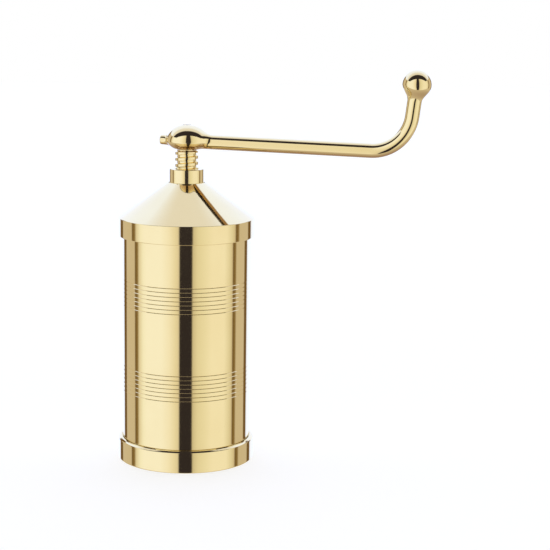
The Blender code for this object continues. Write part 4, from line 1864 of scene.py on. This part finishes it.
@dataclass(frozen=True)
class Studio:
    """The pale floor, the light tent that the brass mirrors and the camera."""

    # The camera: millimetres from the axis and over the floor, and radians.
    camera_distance: float = 814.77
    camera_level: float = 238.39
    camera_yaw: float = 0.0546
    camera_pitch: float = 0.1777
    camera_roll: float = 0.0128
    focal_pixels: float = 1646.0
    frame_pixels: int = 550
    sensor: float = 36.0

    # The floor, in metres.
    floor_size: float = 6.0
    floor_glow: float = 0.745
    floor_tint: float = 0.42

    # The tent: degrees for its cards and its roof, sines for its ground.
    card_top: float = 50.0
    side_top: float = 25.0
    roof_front: float = 86.0
    ground_level: float = 0.32
    ground_ahead: float = 0.85
    ground_blend: float = 0.08
    roof_blend: float = 0.02

    def around(self) -> list[Stop]:
        """Name the colours round the press at eye level.

        Returns:
            The colours, from behind by the viewer's left to behind again.
        """
        return [
            Stop(-180, COOL_WHITE),
            Stop(-152, COOL_WHITE),
            Stop(-149, SHADE),
            Stop(-138, SHADE),
            Stop(-135, TAN),
            Stop(-107, TAN),
            Stop(-104.5, SHADE),
            Stop(-98, (0.27, 0.19, 0.08)),
            Stop(-94, (0.78, 0.72, 0.60)),
            Stop(-84, (0.98, 1.0, 0.98)),
            Stop(-76, CARD),
            Stop(-45, CARD),
            Stop(-30, (0.97, 0.95, 0.90)),
            Stop(-19, (0.86, 0.81, 0.67)),
            Stop(-13.5, (0.76, 0.70, 0.58)),
            Stop(-11.5, LENS_GAP),
            Stop(9.5, LENS_GAP),
            Stop(11.5, (0.66, 0.60, 0.46)),
            Stop(20, (0.82, 0.78, 0.62)),
            Stop(35, (0.90, 0.87, 0.74)),
            Stop(46, WARM_CARD),
            Stop(72, WARM_CARD),
            Stop(84, DIM_CARD),
            Stop(90, (0.68, 0.60, 0.46)),
            Stop(93, SHADE),
            Stop(99, (0.27, 0.19, 0.08)),
            Stop(102, TAN),
            Stop(127, TAN),
            Stop(130, SHADE),
            Stop(139, SHADE),
            Stop(143, COOL_WHITE),
            Stop(180, COOL_WHITE),
        ]

    def ramp(self, tree: bpy.types.NodeTree, value: Socket, stops: Sequence[Stop]) -> Socket:
        """Add a colour ramp over an angle.

        Args:
            tree: The world's node tree.
            value: The angle in radians, from -pi to pi.
            stops: The colours, at rising angles.

        Returns:
            The colour.
        """
        share = tree.nodes.new("ShaderNodeMapRange")
        share.inputs["From Min"].default_value = -pi
        share.inputs["From Max"].default_value = pi
        tree.links.new(value, share.inputs["Value"])
        ramp = tree.nodes.new("ShaderNodeValToRGB")
        tree.links.new(share.outputs["Result"], ramp.inputs["Fac"])
        elements = ramp.color_ramp.elements
        elements[0].position = 0.0
        elements[1].position = 1.0
        while len(elements) < len(stops):
            elements.new(0.5)
        for element, stop in zip(elements, stops):
            element.position = (stop.angle + 180) / 360
        for element, stop in zip(elements, stops):
            element.color = (*stop.colour, 1.0)
        return ramp.outputs["Color"]

    def math(self, tree: bpy.types.NodeTree, operation: str, *values: Feed) -> Socket:
        """Add a Math node to a shader tree.

        Args:
            tree: The tree.
            operation: What it does.
            values: Sockets or numbers.

        Returns:
            The result.
        """
        item = tree.nodes.new("ShaderNodeMath")
        item.operation = operation
        for socket, value in zip(item.inputs, values):
            if isinstance(value, Socket):
                tree.links.new(value, socket)
            else:
                socket.default_value = value
        return item.outputs["Value"]

    def build_world(self) -> None:
        """Build the light tent, white wherever the camera sees it."""
        world = bpy.data.worlds.new("light_tent")
        bpy.context.scene.world = world
        world.use_nodes = True
        tree = world.node_tree
        glow = tree.nodes["Background"]
        way = tree.nodes.new("ShaderNodeSeparateXYZ")
        direction = tree.nodes.new("ShaderNodeTexCoord").outputs["Generated"]
        tree.links.new(direction, way.inputs["Vector"])
        front = self.math(tree, "MULTIPLY", way.outputs["Y"], -1.0)
        azimuth = self.math(tree, "ARCTAN2", way.outputs["X"], front)
        over = self.math(tree, "ARCTAN2", way.outputs["Z"], front)
        sides = self.ramp(tree, azimuth, self.around())
        roof_stops = [
            Stop(-180, WHITE),
            Stop(self.roof_front - 60, LENS_GAP),
            Stop(self.roof_front - 1, LENS_GAP),
            Stop(self.roof_front + 3, (0.83, 0.82, 0.86)),
            Stop(self.roof_front + 18, (0.84, 0.85, 0.95)),
            Stop(self.roof_front + 34, (0.97, 1.1, 1.55)),
            Stop(180, (1.0, 1.15, 1.7)),
        ]
        roof = self.ramp(tree, over, roof_stops)
        card_edge = self.math(tree, "MULTIPLY", front, tan(radians(self.card_top)))
        edge = self.math(tree, "MAXIMUM", card_edge, sin(radians(self.side_top)))
        above = tree.nodes.new("ShaderNodeMapRange")
        above.interpolation_type = "SMOOTHSTEP"
        above.inputs["From Min"].default_value = -self.roof_blend
        above.inputs["From Max"].default_value = self.roof_blend
        tree.links.new(self.math(tree, "SUBTRACT", way.outputs["Z"], edge), above.inputs["Value"])
        mix = tree.nodes.new("ShaderNodeMix")
        mix.data_type = "RGBA"
        tree.links.new(above.outputs["Result"], mix.inputs["Factor"])
        tree.links.new(sides, mix.inputs["A"])
        tree.links.new(roof, mix.inputs["B"])
        toward = self.math(tree, "MAXIMUM", front, 0.0)
        ahead = self.math(tree, "MULTIPLY", toward, self.ground_ahead)
        depth = self.math(tree, "ADD", way.outputs["Z"], ahead)
        below = tree.nodes.new("ShaderNodeMapRange")
        below.interpolation_type = "SMOOTHSTEP"
        below.inputs["From Min"].default_value = -self.ground_level
        below.inputs["From Max"].default_value = -self.ground_level - self.ground_blend
        tree.links.new(depth, below.inputs["Value"])
        ground = tree.nodes.new("ShaderNodeMix")
        ground.data_type = "RGBA"
        tree.links.new(below.outputs["Result"], ground.inputs["Factor"])
        tree.links.new(mix.outputs["Result"], ground.inputs["A"])
        ground.inputs["B"].default_value = (*TAN, 1.0)
        seen = tree.nodes.new("ShaderNodeMix")
        seen.data_type = "RGBA"
        light_path = tree.nodes.new("ShaderNodeLightPath")
        tree.links.new(light_path.outputs["Is Camera Ray"], seen.inputs["Factor"])
        tree.links.new(ground.outputs["Result"], seen.inputs["A"])
        seen.inputs["B"].default_value = (*WHITE, 1.0)
        tree.links.new(seen.outputs["Result"], glow.inputs["Color"])

    def build_floor(self) -> None:
        """Build the pale floor, which keeps the press's shadow."""
        level = CAD_BOX[0][2]
        shape = bmesh.new()
        bmesh.ops.create_grid(shape, x_segments=8, y_segments=8, size=self.floor_size / 2)
        mesh = bpy.data.meshes.new("floor")
        shape.to_mesh(mesh)
        shape.free()
        mesh.transform(Matrix.Translation((0.0, 0.0, level)))
        floor = bpy.data.objects.new("floor", mesh)
        bpy.context.scene.collection.objects.link(floor)
        material = bpy.data.materials.new("pale_floor")
        material.use_nodes = True
        tree = material.node_tree
        tree.nodes.remove(tree.nodes["Principled BSDF"])
        matt = tree.nodes.new("ShaderNodeBsdfDiffuse")
        matt.inputs["Color"].default_value = (self.floor_tint,) * 3 + (1.0,)
        glow = tree.nodes.new("ShaderNodeEmission")
        glow.inputs["Strength"].default_value = self.floor_glow
        both = tree.nodes.new("ShaderNodeAddShader")
        tree.links.new(matt.outputs["BSDF"], both.inputs[0])
        tree.links.new(glow.outputs["Emission"], both.inputs[1])
        clear = tree.nodes.new("ShaderNodeBsdfTransparent")
        pick = tree.nodes.new("ShaderNodeMixShader")
        light_path = tree.nodes.new("ShaderNodeLightPath")
        tree.links.new(light_path.outputs["Is Glossy Ray"], pick.inputs["Fac"])
        tree.links.new(both.outputs["Shader"], pick.inputs[1])
        tree.links.new(clear.outputs["BSDF"], pick.inputs[2])
        tree.links.new(pick.outputs["Shader"], tree.nodes["Material Output"].inputs["Surface"])
        mesh.materials.append(material)

    def build_camera(self) -> None:
        """Put the camera where the photograph was taken from."""
        data = bpy.data.cameras.new("camera")
        data.sensor_width = self.sensor
        data.lens = self.sensor * self.focal_pixels / self.frame_pixels
        data.clip_start = 0.01
        camera = bpy.data.objects.new("camera", data)
        camera.location = (0.0, -self.camera_distance * MM, self.camera_level * MM)
        aim = Euler((pi / 2 - self.camera_pitch, 0.0, -self.camera_yaw)).to_matrix()
        camera.rotation_euler = (aim @ Matrix.Rotation(self.camera_roll, 3, "Z")).to_euler()
        bpy.context.scene.collection.objects.link(camera)
        bpy.context.scene.camera = camera

    def build(self) -> None:
        """Build everything round the press."""
        self.build_world()
        self.build_floor()
        self.build_camera()
        bpy.context.scene.view_settings.view_transform = "Standard"


def main() -> None:
    """Build the press, piece by piece, and the studio round it."""
    logging.basicConfig(level=logging.INFO, format="%(name)s: %(message)s")
    trees = Trees(ScrewThread.tree(), EngravedBand.tree(), PerforatedPlate.tree())
    worked = BrassFinish("worked_washer", Surface.WORKED, roughness=0.16, spread=0.12, ageing=0.5)
    keeper = BrassFinish("worked_keeper", Surface.WORKED, roughness=0.16, spread=0.12, ageing=0.5)
    Barrel().build(trees)
    TopCap().build(trees)
    ScrewBush().build(trees)
    Spindle().build(trees)
    CrankHandle().build()
    Piston().build()
    Washer("thrust_washer", hole=3.8, radius=7.5, finish=worked).build()
    Washer("keeper_washer", hole=2.0, radius=6.6, finish=keeper).build()
    RetainingScrew().build(trees)
    DieDisc().build(trees)
    DieRing().build(trees)
    Studio().build()


if __name__ == "__main__":
    main()
